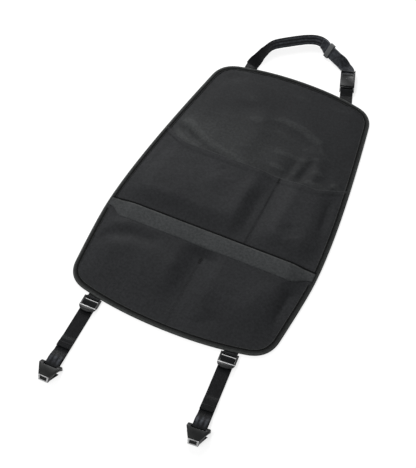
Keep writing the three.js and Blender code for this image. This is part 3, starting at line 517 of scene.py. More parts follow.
@dataclass(frozen=True)
class Finish:
    """What all finishes share: a name, the record's slot, a colour and a second colour, which is a painted
    highlight on mouldings, the lighter colour of marks on cloth and webbing, painted light among them, and
    the darker strands of thread.
    """

    name: str
    slot: Slot
    colour: Colour
    rubbed: Colour
    roughness: float = 0.6
    specular: float = 0.15

    def material(self, kit: ShaderKit) -> Material:
        """Builds the finish.

        Args:
            kit: The shared shader groups.

        Returns:
            The material.
        """
        material = bpy.data.materials.new(self.name)
        material.use_nodes = True
        g = Graph(material.node_tree)
        shader = material.node_tree.nodes["Principled BSDF"]
        g.feed(shader, {"Roughness": self.roughness, "Specular IOR Level": self.specular})
        g.feed(shader, self._surface(g, kit))
        return material

    def _surface(self, g: Graph, kit: ShaderKit) -> Inputs:
        """The Principled inputs that a finish feeds besides these."""
        return {"Base Color": (*self.colour, 1.0)}

    def _worn_colour(self, g: Graph) -> Socket:
        """The colour, turned to the second one where the mesh marks lighter places, painted light among them.
        """
        return g.mixed(g.attribute("worn"), self.colour, self.rubbed)


@dataclass(frozen=True)
class ClothFinish(Finish):
    """Woven cloth on Object coordinates, or tape on its UV map."""

    roughness: float = 0.64
    specular: float = 0.07
    pitch: float = 0.0007
    depth: float = 0.00009
    bump_strength: float = 0.6
    gloss_change: float = 0.06
    patch: float = 0.1
    mottle: float = 0.2
    fleck: float = 0.1
    seam_shade: float = 0.92
    on_uv: bool = False

    def _surface(self, g: Graph, kit: ShaderKit) -> Inputs:
        """The weave with its tone, lighter marks with painted light among them, and painted shade in the
        pressed seams.

        Args:
            g: The material's graph.
            kit: The shared shader groups.

        Returns:
            The Principled inputs.
        """
        place = g.add("ShaderNodeTexCoord").outputs
        thread = place["UV" if self.on_uv else "Object"]
        weave = kit.use(g, kit.weave, Vector=thread, Pitch=self.pitch)["Height"]
        tone = kit.use(g, kit.tone, Vector=place["Object"])
        pressed = g.attribute("pressed")
        shade = g.product(
            g.ranged(weave, 0.0, 1.0, 0.72, 1.14),
            g.ranged(tone["Patch"], 0.3, 0.7, 1.0 - self.patch, 1.0 + self.patch),
            g.ranged(tone["Fleck"], 0.3, 0.7, 1.0 - self.fleck, 1.0 + self.fleck),
            g.ranged(tone["Mottle"], 0.34, 0.66, 1.0 - self.mottle, 1.0 + self.mottle),
            # Painted shade in the seam grooves and along the lower pocket's mouth.
            g.math("MULTIPLY_ADD", pressed, -self.seam_shade, 1.0),
        )
        dull, gloss = self.roughness + self.gloss_change, self.roughness - self.gloss_change
        return {
            "Base Color": g.shaded(self._worn_colour(g), shade),
            "Roughness": g.blended(pressed, g.ranged(weave, 0.0, 1.0, dull, gloss), 1.0),
            "Normal": g.bump(weave, self.bump_strength, self.depth),
        }


@dataclass(frozen=True)
class WebbingFinish(Finish):
    """Woven strap on the piece's own UV map, across and along in metres."""

    roughness: float = 0.42
    specular: float = 0.075
    rib_pitch: float = 0.00115
    pick_pitch: float = 0.0017
    depth: float = 0.0003
    bump_strength: float = 0.55
    patch_scale: float = 40.0
    sheen_gain: float = 16.0

    def _surface(self, g: Graph, kit: ShaderKit) -> Inputs:
        """The ribs with their tone, painted sheen and lighter selvages.

        Args:
            g: The material's graph.
            kit: The shared shader groups.

        Returns:
            The Principled inputs.
        """
        place = g.add("ShaderNodeTexCoord").outputs
        pitches = {"Rib_Pitch": self.rib_pitch, "Pick_Pitch": self.pick_pitch}
        ribs = kit.use(g, kit.ribs, Vector=place["UV"], **pitches)["Height"]
        tone = kit.use(g, kit.tone, Vector=place["Object"], Patch_Scale=self.patch_scale)
        shade = g.product(
            g.ranged(ribs, 0.0, 1.0, 0.6, 1.2),
            g.ranged(tone["Patch"], 0.3, 0.7, 0.88, 1.12),
            g.ranged(tone["Mottle"], 0.36, 0.64, 0.6, 1.5),
            # Painted sheen: lengthwise stripes and an even lightening, stored on the mesh.
            g.math("MULTIPLY_ADD", g.attribute("banded"), self.sheen_gain, 1.0),
        )
        return {
            "Base Color": g.shaded(self._worn_colour(g), shade),
            "Roughness": g.ranged(ribs, 0.0, 1.0, self.roughness + 0.2, self.roughness - 0.06),
            "Normal": g.bump(ribs, self.bump_strength, self.depth),
        }


@dataclass(frozen=True)
class MouldedFinish(Finish):
    """Moulded plastic with fine grain and painted highlights on its softened edges."""

    specular: float = 0.24
    grain: float = 0.00006
    bump_strength: float = 0.35

    def _surface(self, g: Graph, kit: ShaderKit) -> Inputs:
        """The grain, its smears and the painted edge highlights.

        Args:
            g: The material's graph.
            kit: The shared shader groups.

        Returns:
            The Principled inputs.
        """
        spot = g.add("ShaderNodeTexCoord").outputs["Object"]
        grain = kit.use(g, kit.grain, Vector=spot)
        # Painted highlight: the marked edge faces take the second colour.
        worn = kit.use(g, kit.edge_highlight, Vector=spot, Edge=g.attribute("worn"))["Mask"]
        return {
            "Base Color": g.mixed(worn, self.colour, self.rubbed),
            "Roughness": g.ranged(grain["Smear"], 0.3, 0.7, self.roughness - 0.06, self.roughness + 0.1),
            "Normal": g.bump(grain["Height"], self.bump_strength, self.grain),
        }


@dataclass(frozen=True)
class ThreadFinish(Finish):
    """Sewing thread with a slight sheen, its second colour the darker of its strands."""

    sheen: float = 0.03
    fleck_scale: float = 2600.0
    depth: float = 0.0001

    def _surface(self, g: Graph, kit: ShaderKit) -> Inputs:
        """The fine strands of the thread.

        Args:
            g: The material's graph.
            kit: The shared shader groups.

        Returns:
            The Principled inputs.
        """
        spot = g.add("ShaderNodeTexCoord").outputs["Object"]
        strands = kit.use(g, kit.tone, Vector=spot, Fleck_Scale=self.fleck_scale)["Fleck"]
        return {
            "Base Color": g.mixed(strands, self.rubbed, self.colour),
            "Sheen Weight": self.sheen,
            "Normal": g.bump(strands, 1.0, self.depth),
        }


@dataclass
class Finishes:
    """Every finish of the object, built once, and how a piece gets one."""

    kit: ShaderKit
    made: dict[str, Material] = field(default_factory=dict)

    PANEL = ClothFinish("panel_cloth", Slot.PANEL, (0.0138, 0.0144, 0.0155), (0.047, 0.0495, 0.0495))
    POCKET = ClothFinish("pocket_cloth", Slot.POCKET, (0.0192, 0.0199, 0.0214), (0.044, 0.046, 0.046))
    # The band's colour is lighter than the pocket cloth's: painted light on its face, which slopes up toward
    # the lamps.
    BAND = ClothFinish("band_cloth", Slot.BAND, (0.042, 0.0442, 0.0455), (0.07, 0.072, 0.071), 0.75)
    BINDING = ClothFinish(
        "binding_tape", Slot.BINDING, (0.0165, 0.0175, 0.0172), (0.09, 0.094, 0.092),
        pitch=0.0009, depth=0.0001, patch=0.08, on_uv=True)
    WEBBING = WebbingFinish("webbing", Slot.WEBBING, (0.0043, 0.0046, 0.0053), (0.026, 0.027, 0.03))
    # The second colours of the three mouldings below are painted highlights on their softened edges, the
    # lock's lip and the hook's nose; near white on the black ones.
    MOULDING = MouldedFinish(
        "black_moulding", Slot.MOULDING, (0.008, 0.0085, 0.0088), (0.75, 0.755, 0.76), 0.38, 0.18)
    SLIDER = MouldedFinish("grey_moulding", Slot.SLIDER, (0.085, 0.088, 0.09), (0.15, 0.154, 0.157), 0.42)
    HOOK = MouldedFinish(
        "hook_moulding", Slot.HOOK, (0.0085, 0.0092, 0.0092), (0.8, 0.805, 0.81), 0.36, 0.13)
    THREAD = ThreadFinish("thread", Slot.BINDING, (0.012, 0.0125, 0.0135), (0.0072, 0.0075, 0.0081))

    def get(self, finish: Finish) -> Material:
        """The material of a finish.

        Args:
            finish: One of the finishes above.

        Returns:
            Its material, made once.
        """
        if finish.name not in self.made:
            self.made[finish.name] = finish.material(self.kit)
        return self.made[finish.name]

    def dress(
        self, piece: Object, finish: Finish, nodes: Sequence[str] = (), body: Body = Body.PROTECTOR,
    ) -> Object:
        """Gives a finished piece its material and body, and hides the CAD nodes that it stands for.

        Args:
            piece: The finished piece.
            finish: Its only finish.
            nodes: CAD nodes that it replaces.
            body: The body that it moves with.

        Returns:
            The piece.
        """
        piece.data.materials.clear()
        piece.data.materials.append(self.get(finish))
        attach(piece, body.value)
        if nodes:
            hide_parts(*nodes)
        LOG.info("%s: %d faces on %s", piece.name, len(piece.data.polygons), body.value)
        return piece


# Panel outline and cloth


@dataclass(frozen=True)
class PanelOutline:
    """The panel's outline: rounded corners, bowed ends and sides that taper upward."""

    length: float = 634.0
    half_width: float = 208.9
    widest_y: float = -113.9
    side_bend_down: float = 40.0
    side_bend_up: float = 123.4
    bottom_bow_reach: float = 86.9
    bottom_corner_rise: float = 24.9
    bottom_corner_inset: float = 13.8
    bottom_corner_reach: float = 39.0
    top_bow_reach: float = 70.9
    top_corner_drop: float = 23.7
    top_corner_inset: float = 46.6
    top_corner_reach: float = 35.0
    steps: int = 40

    @property
    def top(self) -> float:
        """Height of the top edge's middle."""
        return self.length / 2

    @property
    def bottom(self) -> float:
        """Height of the bottom edge's middle."""
        return -self.length / 2

    def _half(self) -> Array:
        """The right half, from bottom centre to top centre.

        Returns:
            Points on it, a fixed number for each of its six bends.
        """
        bottom_edge = point(self.bottom_bow_reach, self.bottom)
        bottom_corner = point(
            self.half_width - self.bottom_corner_inset, self.bottom + self.bottom_corner_rise)
        lower_side = point(self.half_width, self.widest_y - self.side_bend_down)
        upper_side = point(self.half_width, self.widest_y + self.side_bend_up)
        top_corner = point(self.half_width - self.top_corner_inset, self.top - self.top_corner_drop)
        top_edge = point(self.top_bow_reach, self.top)
        knots = [
            point(0, self.bottom),
            toward(bottom_corner, bottom_edge, self.bottom_corner_reach),
            toward(bottom_corner, lower_side, self.bottom_corner_reach),
            point(self.half_width, self.widest_y),
            toward(top_corner, upper_side, self.top_corner_reach),
            toward(top_corner, top_edge, self.top_corner_reach),
            point(0, self.top),
        ]
        controls = [bottom_edge, bottom_corner, lower_side, upper_side, top_corner, top_edge]
        t = np.linspace(0, 1, self.steps + 1)[:, None]
        bends = [bent(start, control, end, t)[1:] for start, control, end in zip(knots, controls, knots[1:])]
        return np.concatenate([knots[0][None, :], *bends])

    def right_half(self, inset: float = 0.0) -> Array:
        """The right half moved inward.

        Args:
            inset: Distance moved.

        Returns:
            Its points from bottom centre to top centre.
        """
        half = self._half()
        before = np.vstack([mirrored(half[1:2]), half[:-1]])
        after = np.vstack([half[1:], mirrored(half[-2:-1])])
        along = unit(after - before)
        return half + np.stack([-along[:, 1], along[:, 0]], axis=1) * inset

    def loop(self, inset: float = 0.0) -> Array:
        """The whole outline moved inward, anticlockwise from bottom centre, not closed."""
        right = self.right_half(inset)
        return np.vstack([right, mirrored(right)[::-1][1:-1]])

    def closed_loop(self, inset: float = 0.0) -> Array:
        """The whole outline moved inward, its first point again at its end."""
        loop = self.loop(inset)
        return np.vstack([loop, loop[:1]])

    def half_width_at(self, y: Amount, inset: float = 0.0) -> Array:
        """How far the outline reaches to the side at a height."""
        half = self._half()
        return np.interp(y, half[:, 1], half[:, 0]) - inset

    def depth_at(self, x: Array, y: Array, inset: float = 0.0) -> Array:
        """How far plan points lie inside the outline moved inward, measured across or up."""
        side = self.half_width_at(y, inset) - np.abs(x)
        return np.minimum(side, np.minimum(self.top - inset - y, y - self.bottom - inset))

    def edges(self, inset: float, low: float | None = None, high: Array | None = None) -> tuple[Array, ...]:
        """The four edges of the outline, or of the part of it between two levels.

        Args:
            inset: Distance moved inward.
            low: Height of a straight lower edge, or None for the outline's own.
            high: Upper edge from left to right, or None for the outline's own.

        Returns:
            Bottom, right, top and left edges.
        """
        right = self.right_half(inset)
        first, last = self.steps + self.steps // 2, 4 * self.steps + self.steps // 2
        side = right[first:last + 1]
        bottom = np.vstack([mirrored(right[:first + 1])[::-1], right[1:first + 1]])
        top = np.vstack([mirrored(right[last:]), right[last:-1][::-1]])
        if high is not None:
            side = np.vstack([side[side[:, 1] < high[-1, 1]], high[-1:]])
            top = high
        if low is not None:
            corner = np.array([[np.interp(low, right[:, 1], right[:, 0]), low]])
            side = np.vstack([corner, side[side[:, 1] > low]])
            bottom = np.vstack([mirrored(corner), corner])
        return bottom, side, top, mirrored(side)


@dataclass(frozen=True)
class Fold:
    """A soft ridge or hollow in cloth along a line on the plan.

    A positive height is a ridge. left and right are how far it spreads to either side of the line.
    """

    line: tuple[tuple[float, float], ...]
    height: float
    left: float
    right: float

    def at(self, x: Array, y: Array) -> Array:
        """The fold's height at plan points.

        Args:
            x, y: Their coordinates.

        Returns:
            One height for each point.
        """
        points = resample(np.array(self.line, float), FOLD_STEPS)
        best = np.full(np.shape(x), np.inf)
        side, where = np.zeros(np.shape(x)), np.zeros(np.shape(x))
        along = 0.0
        for a, b in zip(points, points[1:]):
            step = b - a
            size = float(np.hypot(*step))
            t = np.clip(((x - a[0]) * step[0] + (y - a[1]) * step[1]) / size**2, 0, 1)
            dx, dy = x - a[0] - t * step[0], y - a[1] - t * step[1]
            distance = np.hypot(dx, dy)
            near = distance < best
            best = np.where(near, distance, best)
            side = np.where(near, np.sign(step[0] * dy - step[1] * dx), side)
            where = np.where(near, along + t * size, where)
            along += size
        width = np.where(side > 0, self.left, self.right)
        share = where / arc_lengths(points)[-1]
        ends = smoothstep(share, 0.0, FOLD_FADE) * smoothstep(1 - share, 0.0, FOLD_FADE)
        return self.height * bell(best, width) * lerp(FOLD_END, 1.0, ends)


def folds_at(folds: Sequence[Fold], x: Array, y: Array) -> Array:
    """The summed height of several folds."""
    return sum((fold.at(x, y) for fold in folds), np.zeros(np.shape(x)))


@dataclass(frozen=True)
class HemLine:
    """The upper pocket's hem: straight in the middle, turned up toward both sides."""

    level: float = 72.8
    lift: float = 24.0
    straight: float = 130.0
    bend: float = 62.0

    @property
    def ends_at(self) -> float:
        """Height of the hem at the panel's sides."""
        return self.level + self.lift

    def at(self, x: Array) -> Array:
        """Height up the panel at a distance from the middle."""
        return self.level + self.lift * smoothstep(np.abs(x), self.straight, self.straight + self.bend)


def cloth_shell(name: str, plan: Array, under: Array, cloth: Amount) -> Object:
    """Makes a closed sheet of cloth with a rounded rim.

    Args:
        name: The piece's name.
        plan: Grid of plan points, as rows, columns and two coordinates.
        under: Height of the underside at each grid point.
        cloth: Thickness of the cloth.

    Returns:
        The closed piece.
    """
    number = numbered(*plan.shape[:2])
    total = number.size
    thick = np.broadcast_to(cloth, under.shape)
    low = np.dstack([plan, under]).reshape(-1, 3)
    high = np.dstack([plan, under + thick]).reshape(-1, 3)
    ring = rim_of(number)
    edge = plan.reshape(-1, 2)[ring]
    along = unit(np.roll(edge, -1, axis=0) - np.roll(edge, 1, axis=0))
    outward = np.stack([along[:, 1], -along[:, 0]], axis=1)
    half = thick.reshape(-1)[ring] / 2
    rim = np.column_stack([edge + outward * half[:, None] * RIM_ROUND, low[ring, 2] + half])
    quads = grid_faces(number)
    here = 2 * total + np.arange(len(ring))
    there, next_ring = np.roll(here, -1), np.roll(ring, -1)
    rim_low = np.stack([ring, next_ring, there, here], axis=1)
    rim_high = np.stack([here, there, total + next_ring, total + ring], axis=1)
    faces = np.vstack([quads[:, ::-1], quads + total, rim_low, rim_high])
    return make_object(name, np.vstack([low, high, rim]), faces.tolist(), outward=False)


def mark_shell(piece: Object, **values: Array) -> None:
    """Stores grid values as attributes over a cloth shell's underside, top and rim.

    Args:
        piece: A piece made by cloth_shell.
        values: For each attribute, one value at each grid point.
    """
    for name, value in values.items():
        flat = value.reshape(-1)
        set_attribute(piece, name, np.concatenate([flat, flat, flat[rim_of(numbered(*value.shape))]]))


@dataclass
class Panel:
    """The cloth laminate panel and the woven tape folded over its edge."""

    outline: PanelOutline
    thickness: float = 3.0
    wall: float = 0.6
    gap: float = 0.3
    binding_width: float = 10.5
    seam_inset: float = 2.3
    pucker_pitch: float = 3.4
    pocket_lift: float = 0.8
    hem: HemLine = HemLine()
    edge_ramp: float = 34.0
    rise: float = 0.7
    strap_recess: float = 2.4
    strap_half: float = 14.0
    # Painted light: a lit patch on the left, over the slope above the upper pocket's hem; its strength, its
    # middle across the panel, its width, and the heights over which it fades out upward.
    painted_light: float = 0.44
    painted_light_x: float = -90.0
    painted_light_wide: float = 150.0
    painted_light_low: float = 130.0
    painted_light_high: float = 225.0
    columns: int = 132
    rows: int = 200
    tape_stations: int = 900
    folds: tuple[Fold, ...] = (
        Fold(((-182, 92), (-130, 72), (-84, 66), (-40, 68), (34, 70)), 3.2, 27, 8),
        Fold(((96, 72), (128, 72), (150, 78), (186, 92)), 2.4, 20, 8),
        Fold(((-186, 146), (-150, 122), (-112, 98), (-62, 84), (-20, 82)), 3.8, 17, 11),
        Fold(((-176, 118), (-138, 96), (-104, 84)), -3.6, 10, 9),
        Fold(((-18, 78), (-28, 118), (-24, 165), (-46, 226)), 2.8, 26, 22),
        Fold(((-22, 196), (12, 203), (56, 196), (92, 180), (112, 152), (108, 112), (97, 74)), 2.8, 18, 24),
        Fold(((-16, 186), (14, 192), (54, 183), (84, 166), (96, 146)), -1.5, 12, 12),
        Fold(((104, 148), (98, 110), (90, 72)), -2.3, 10, 8),
        Fold(((86, 152), (85, 110), (80, 72)), 1.2, 9, 9),
        Fold(((74, 134), (70, 98), (69, 70)), -1.3, 9, 10),
        Fold(((40, 150), (44, 110), (40, 78)), 1.9, 24, 20),
        Fold(((122, 128), (118, 88), (140, 72)), 2.8, 12, 10),
        Fold(((152, 102), (190, 88)), 2.9, 12, 9),
        Fold(((158, 148), (186, 138), (198, 108)), -2.9, 12, 12),
        Fold(((150, 190), (176, 214), (186, 240)), 1.7, 18, 16),
        Fold(((-152, 250), (-126, 276), (-90, 290)), -1.4, 12, 14),
        Fold(((-170, 196), (-110, 216), (-40, 262)), 1.3, 30, 26),
    )

    def height(self, x: Array, y: Array) -> Array:
        """Height of the panel's upper face.

        Args:
            x, y: Coordinates of plan points.

        Returns:
            One height for each point.
        """
        inner = smoothstep(self.outline.depth_at(x, y, self.binding_width), 0, self.edge_ramp)
        waves = 0.35 * value_noise(x, y, 62.0, SEED) + 0.16 * value_noise(x, y, 23.0, SEED + 1)
        above_hem = smoothstep(y - self.hem.at(x), -18, -4)
        return self.thickness + inner * above_hem * (self.rise + folds_at(self.folds, x, y) + waves)

    def _recess(self, x: Array, y: Array) -> Array:
        """Height of the underside over the sewn ends of the straps.

        Args:
            x, y: Coordinates of plan points.

        Returns:
            One height for each point.
        """
        ends = (
            (x - LEFT_LOCK.x, self.outline.bottom, -262.0),
            (x - RIGHT_LOCK.x + (y - RIGHT_LOCK.y) * math.tan(RIGHT_LOCK.turn), self.outline.bottom, -262.0),
            (x - 86.8 + (y - 352.6) * math.tan(BUCKLE_TURN), 262.0, self.outline.top),
            (x - TAB_X, 258.0, self.outline.top),
        )
        deep = np.zeros(np.shape(x))
        for across, low, high in ends:
            inside = 1 - smoothstep(np.abs(across), self.strap_half, self.strap_half + 3)
            inside = inside * smoothstep(y, low - 8, low - 4) * (1 - smoothstep(y, high + 4, high + 8))
            deep = np.maximum(deep, inside * self.strap_recess)
        return deep

    def cloth(self) -> Object:
        """Builds the panel's cloth.

        Returns:
            A closed sheet, flat below and softly creased above.
        """
        plan = coons(*self.outline.edges(self.wall + self.gap), self.columns, self.rows)
        x, y = plan[..., 0], plan[..., 1]
        depth = self.outline.depth_at(x, y)
        tape = 1 - smoothstep(depth, self.binding_width + 0.3, self.binding_width + 2.5)
        under = np.maximum(tape * (self.wall + self.gap), self._recess(x, y))
        top = self.height(x, y)
        piece = cloth_shell("panel_cloth", plan, under, top - under)
        # The second colour goes along the fold crests, and as painted light over a lit patch on the left
        # above the hem.
        crest = smoothstep(-np.gradient(np.gradient(top, axis=0), axis=0), 0.01, 0.08)
        painted_light_mask = bell(x - self.painted_light_x, self.painted_light_wide)
        painted_light_mask = painted_light_mask * (1 - smoothstep(y, self.painted_light_low, self.painted_light_high))
        painted_light_mask = painted_light_mask * (0.8 + 0.3 * value_noise(x, y, 40.0, SEED + 5))
        mark_shell(piece, worn=np.clip(crest * 0.25 + self.painted_light * painted_light_mask, 0, 1))
        return piece

    def tape_top(self, y: Array) -> Array:
        """How far the tape is lifted where it also covers a pocket."""
        return self.pocket_lift * (1 - smoothstep(y, self.hem.ends_at - 8, self.hem.ends_at + 6))

    def _tape_section(self) -> Array:
        """The tape's folded section, from its upper inner edge round the rim to its lower one and back.

        Returns:
            For each point its inset, its height, its share of the lift over a pocket and of the pucker.
        """
        wide, upper = self.binding_width, self.thickness + self.gap
        return np.array([
            (wide, upper, 1.0, 1.0), (wide + 0.25, upper + 0.45, 1.0, 1.0),
            (wide - 0.1, upper + 0.85, 1.0, 1.0), (wide - 1.2, upper + 0.72, 1.0, 0.8),
            (wide - self.seam_inset, upper + 0.42, 1.0, 0.2),
            (wide - 3.4, upper + 0.72, 1.0, 0.7), (wide - 5.2, upper + 0.86, 0.95, 1.0),
            (4.2, upper + 0.82, 0.85, 1.0), (2.4, upper + 0.6, 0.6, 0.8), (1.1, upper + 0.15, 0.35, 0.5),
            (0.35, upper - 0.6, 0.2, 0.3), (0.0, 2.3, 0.1, 0.1), (0.05, 1.3, 0.0, 0.0), (0.5, 0.35, 0.0, 0.0),
            (1.4, 0.0, 0.0, 0.0), (4.0, 0.0, 0.0, 0.0), (wide, 0.0, 0.0, 0.0), (wide, self.wall, 0.0, 0.0),
            (4.0, self.wall, 0.0, 0.0), (1.6, 0.75, 0.0, 0.0), (0.75, 1.3, 0.0, 0.0), (0.65, 2.2, 0.1, 0.0),
            (0.95, 2.9, 0.3, 0.0), (1.9, upper, 0.6, 0.0), (4.4, upper + 0.05, 0.85, 0.0),
            (7.0, upper + 0.05, 1.0, 0.0),
        ])

    def binding(self) -> Object:
        """Builds the tape: a folded section carried round the outline.

        Returns:
            The closed tape, with a UV map, a lighter rim and inner edge, and painted shade in its seam groove
            and along its inner edges.
        """
        closed = resample(self.outline.closed_loop(), self.tape_stations + 1)[:-1]
        along = unit(np.roll(closed, -1, axis=0) - np.roll(closed, 1, axis=0))
        inward = np.stack([-along[:, 1], along[:, 0]], axis=1)
        travel = arc_lengths(np.vstack([closed, closed[:1]]))[:-1]
        ripple = np.sin(travel / self.pucker_pitch * 2 * math.pi)
        pucker = 0.13 * ripple + 0.22 * value_noise(travel, travel * 0, 9.0, SEED + 2)
        lift = self.tape_top(closed[:, 1])
        section = self._tape_section()
        inset, level, lifted, puckered = section.T
        plan = closed[:, None, :] + inward[:, None, :] * inset[None, :, None]
        z = level + lift[:, None] * lifted + pucker[:, None] * puckered
        number = np.pad(numbered(*z.shape), ((0, 1), (0, 1)), mode="wrap")
        piece = make_object("binding_tape", np.dstack([plan, z]).reshape(-1, 3), grid_faces(number).tolist())
        set_uv(piece, arc_lengths(section[:, :2]), travel)
        # Lighter along the rolled rim and the raised inner edge; painted shade in the seam groove and along
        # the inner edges, where the tape meets the panel.
        marks = {
            "worn": {1: 0.35, 2: 0.35, 8: 0.4, 9: 0.7, 10: 0.7, 11: 0.4},
            "pressed": {0: 0.8, 3: 0.7, 4: 1.0, 5: 0.7, 17: 0.8, 25: 0.8},
        }
        for name, marked in marks.items():
            values = np.zeros(len(section))
            values[list(marked)] = list(marked.values())
            set_attribute(piece, name, np.broadcast_to(values, z.shape))
        return piece

    def stitch_line(self) -> Array:
        """The seam round the tape, as points just above it."""
        closed = resample(self.outline.closed_loop(self.binding_width - self.seam_inset), 1200)
        return np.column_stack([closed, self.thickness + self.gap + 0.62 + self.tape_top(closed[:, 1])])

    def build(self, finishes: Finishes) -> None:
        """Makes and dresses the panel and its binding.

        Args:
            finishes: The object's finishes.
        """
        cloth = finishes.dress(self.cloth(), Finishes.PANEL, ["back_panel"])
        x, y = self.outline.loop(self.wall + self.gap).T
        tape = finishes.dress(self.binding(), Finishes.BINDING, ["edge_binding"])
        edge = arc_lengths(self.outline.closed_loop())[-1]


@dataclass
class Pockets:
    """The upper pocket, the lower pocket and the stiff band along the lower mouth."""

    outline: PanelOutline
    tuck: float = 5.5
    cloth: float = 0.7
    base: float = 3.3
    binding_width: float = 10.5
    hem: HemLine = HemLine()
    hem_depth: float = 12.0
    hem_seam: float = 10.5
    seam_y: float = -108.0
    upper_divider: float = 60.5
    upper_rise: float = 5.6
    upper_bulge: float = 2.6
    mouth_y: float = -97.2
    ridge_y: float = -139.2
    lower_divider: float = 4.0
    mouth_rise: float = 6.0
    ridge_rise: float = 10.0
    divider_half: float = 1.6
    divider_top: float = -158.0
    divider_fade: float = 26.0
    side_ramp: float = 46.0
    divider_ramp: float = 44.0
    seam_ramp: float = 60.0
    crease_ramp: float = 14.0
    band_width: float = 41.0
    band_cloth: float = 0.8
    band_end_rise: float = 19.0
    columns: int = 150
    band_columns: int = 190
    upper_folds: tuple[Fold, ...] = (
        Fold(((42, 50), (40, 0), (42, -80)), -2.0, 13, 14),
        Fold(((22, 52), (16, 0), (12, -70)), 2.0, 20, 16),
        Fold(((-30, 58), (-34, 30), (-60, -10)), 1.5, 18, 16),
        Fold(((-52, 50), (-34, 36), (-20, 22)), -1.5, 12, 10),
        Fold(((-178, 66), (-186, 10), (-190, -60)), 2.2, 14, 16),
        Fold(((-160, 70), (-170, 26), (-172, -14)), -1.7, 12, 12),
        Fold(((-130, 20), (-100, -30), (-96, -80)), 1.3, 26, 26),
        Fold(((166, 66), (174, 30), (178, -24)), -2.8, 9, 8),
        Fold(((182, 70), (190, 30), (192, -20)), 1.8, 8, 10),
        Fold(((118, -22), (136, -54)), -2.0, 14, 16),
        Fold(((98, 50), (96, 0), (92, -60)), 1.4, 16, 18),
    )
    lower_folds: tuple[Fold, ...] = (
        Fold(((-186, -216), (-170, -180), (-124, -163), (-64, -160)), -3.4, 12, 15),
        Fold(((-200, -190), (-172, -155), (-134, -146)), 1.8, 9, 10),
        Fold(((-176, -232), (-150, -200), (-108, -184)), 1.4, 18, 20),
        Fold(((172, -146), (180, -172), (180, -232)), -4.0, 13, 11),
        Fold(((142, -148), (128, -210), (120, -256)), 2.1, 20, 18),
        Fold(((80, -250), (58, -296)), -2.0, 14, 14),
        Fold(((-40, -170), (-34, -230), (-30, -270)), 1.3, 26, 24),
    )

    def _side(self, x: Array, y: Array) -> Array:
        """How far plan points lie from the binding at either side."""
        return self.outline.half_width_at(y, self.binding_width) - np.abs(x)

    def _from_divider(self, x: Array, divider: float) -> Array:
        """One where the cloth stands free, falling to zero at a divider seam."""
        return smoothstep(np.abs(x - divider) - self.divider_half, 0, self.divider_ramp)

    def _past_divider(self, y: Array) -> Array:
        """Zero beside the lower divider, one above its top end."""
        return smoothstep(y, self.divider_top, self.divider_top + self.divider_fade)

    def _creased(self, x: Array, y: Array, divider: float, folds: Sequence[Fold]) -> Array:
        """Folds and small waves, held down at the binding and the divider seam.

        Args:
            x, y: Coordinates of plan points.
            divider: Where the divider seam runs.
            folds: The pocket's folds.

        Returns:
            What they add to the height at each point.
        """
        free = smoothstep(self._side(x, y), 0, self.crease_ramp)
        free = free * smoothstep(np.abs(x - divider), 0, self.crease_ramp)
        waves = 0.3 * value_noise(x, y, 48.0, SEED + 3) + 0.14 * value_noise(x, y, 19.0, SEED + 4)
        return free * (folds_at(folds, x, y) + waves)

    def upper_height(self, x: Array, y: Array) -> Array:
        """Underside of the upper pocket.

        Args:
            x, y: Coordinates of plan points.

        Returns:
            One height for each point.
        """
        from_seam = smoothstep(y, self.seam_y + 12, self.seam_y + self.seam_ramp)
        from_hem = smoothstep(y, self.hem.level - self.seam_ramp * 2, self.hem.level)
        rise = self.upper_rise + self.upper_bulge * (1 - from_hem)
        from_side = smoothstep(self._side(x, y), 0, self.side_ramp)
        height = rise * from_seam * from_side * self._from_divider(x, self.upper_divider)
        free = smoothstep(y, self.seam_y, self.seam_y + 20)
        creased = free * self._creased(x, y, self.upper_divider, self.upper_folds)
        return self.base + np.maximum(height + creased, 0.0)

    def lower_height(self, x: Array, y: Array) -> Array:
        """Underside of the lower pocket.

        Args:
            x, y: Coordinates of plan points.

        Returns:
            One height for each point.
        """
        rim = (self.cloth + 0.3) * smoothstep(y, self.seam_y - 30, self.seam_y - 10)
        low = self.outline.bottom + self.binding_width
        from_bottom = smoothstep(y, low, low + 2 * self.seam_ramp)
        to_mouth = np.clip((y - self.ridge_y) / (self.mouth_y - self.ridge_y), 0, 1)
        rise = lerp(self.ridge_rise, self.mouth_rise, to_mouth**0.9)
        held = lerp(self._from_divider(x, self.lower_divider), 1.0, self._past_divider(y))
        height = rise * from_bottom * smoothstep(self._side(x, y), 0, self.side_ramp) * held
        free = smoothstep(y, low, low + 18) * (1 - smoothstep(y, self.ridge_y - 6, self.ridge_y + 6))
        creased = free * self._creased(x, y, self.lower_divider, self.lower_folds)
        return self.base + rim + np.maximum(height + creased, 0.0)

    def _hem_line(self, drop: float = 0.0) -> Array:
        """The upper hem from left to right, a distance below the edge."""
        reach = self.outline.half_width_at(self.hem.ends_at, self.tuck)
        x = np.linspace(-reach, reach, 160)
        return np.column_stack([x, self.hem.at(x) - drop])

    def upper(self) -> Object:
        """Builds the upper pocket's cloth with its folded hem.

        Returns:
            The closed sheet.
        """
        plan = coons(*self.outline.edges(self.tuck, low=self.seam_y, high=self._hem_line()), self.columns, 76)
        x, y = plan[..., 0], plan[..., 1]
        below = self.hem.at(x) - y
        hem = 1 - smoothstep(below, self.hem_depth, self.hem_depth + 1.5)
        groove = 0.25 * bell(below - self.hem_seam, 1.0) + 0.15 * bell(below - 1.6, 0.8)
        cloth = self.cloth + 0.5 * hem - groove * hem
        piece = cloth_shell("upper_pocket_cloth", plan, self.upper_height(x, y), cloth)
        # A painted highlight along the hem's folded edge; painted shade along the divider seam and in the
        # hem's seam grooves.
        seam = 0.45 * bell(x - self.upper_divider, 1.5) * smoothstep(below, -1, 6)
        mark_shell(piece, worn=0.35 * bell(below, 1.6), pressed=np.maximum(seam, groove * 1.2))
        return piece

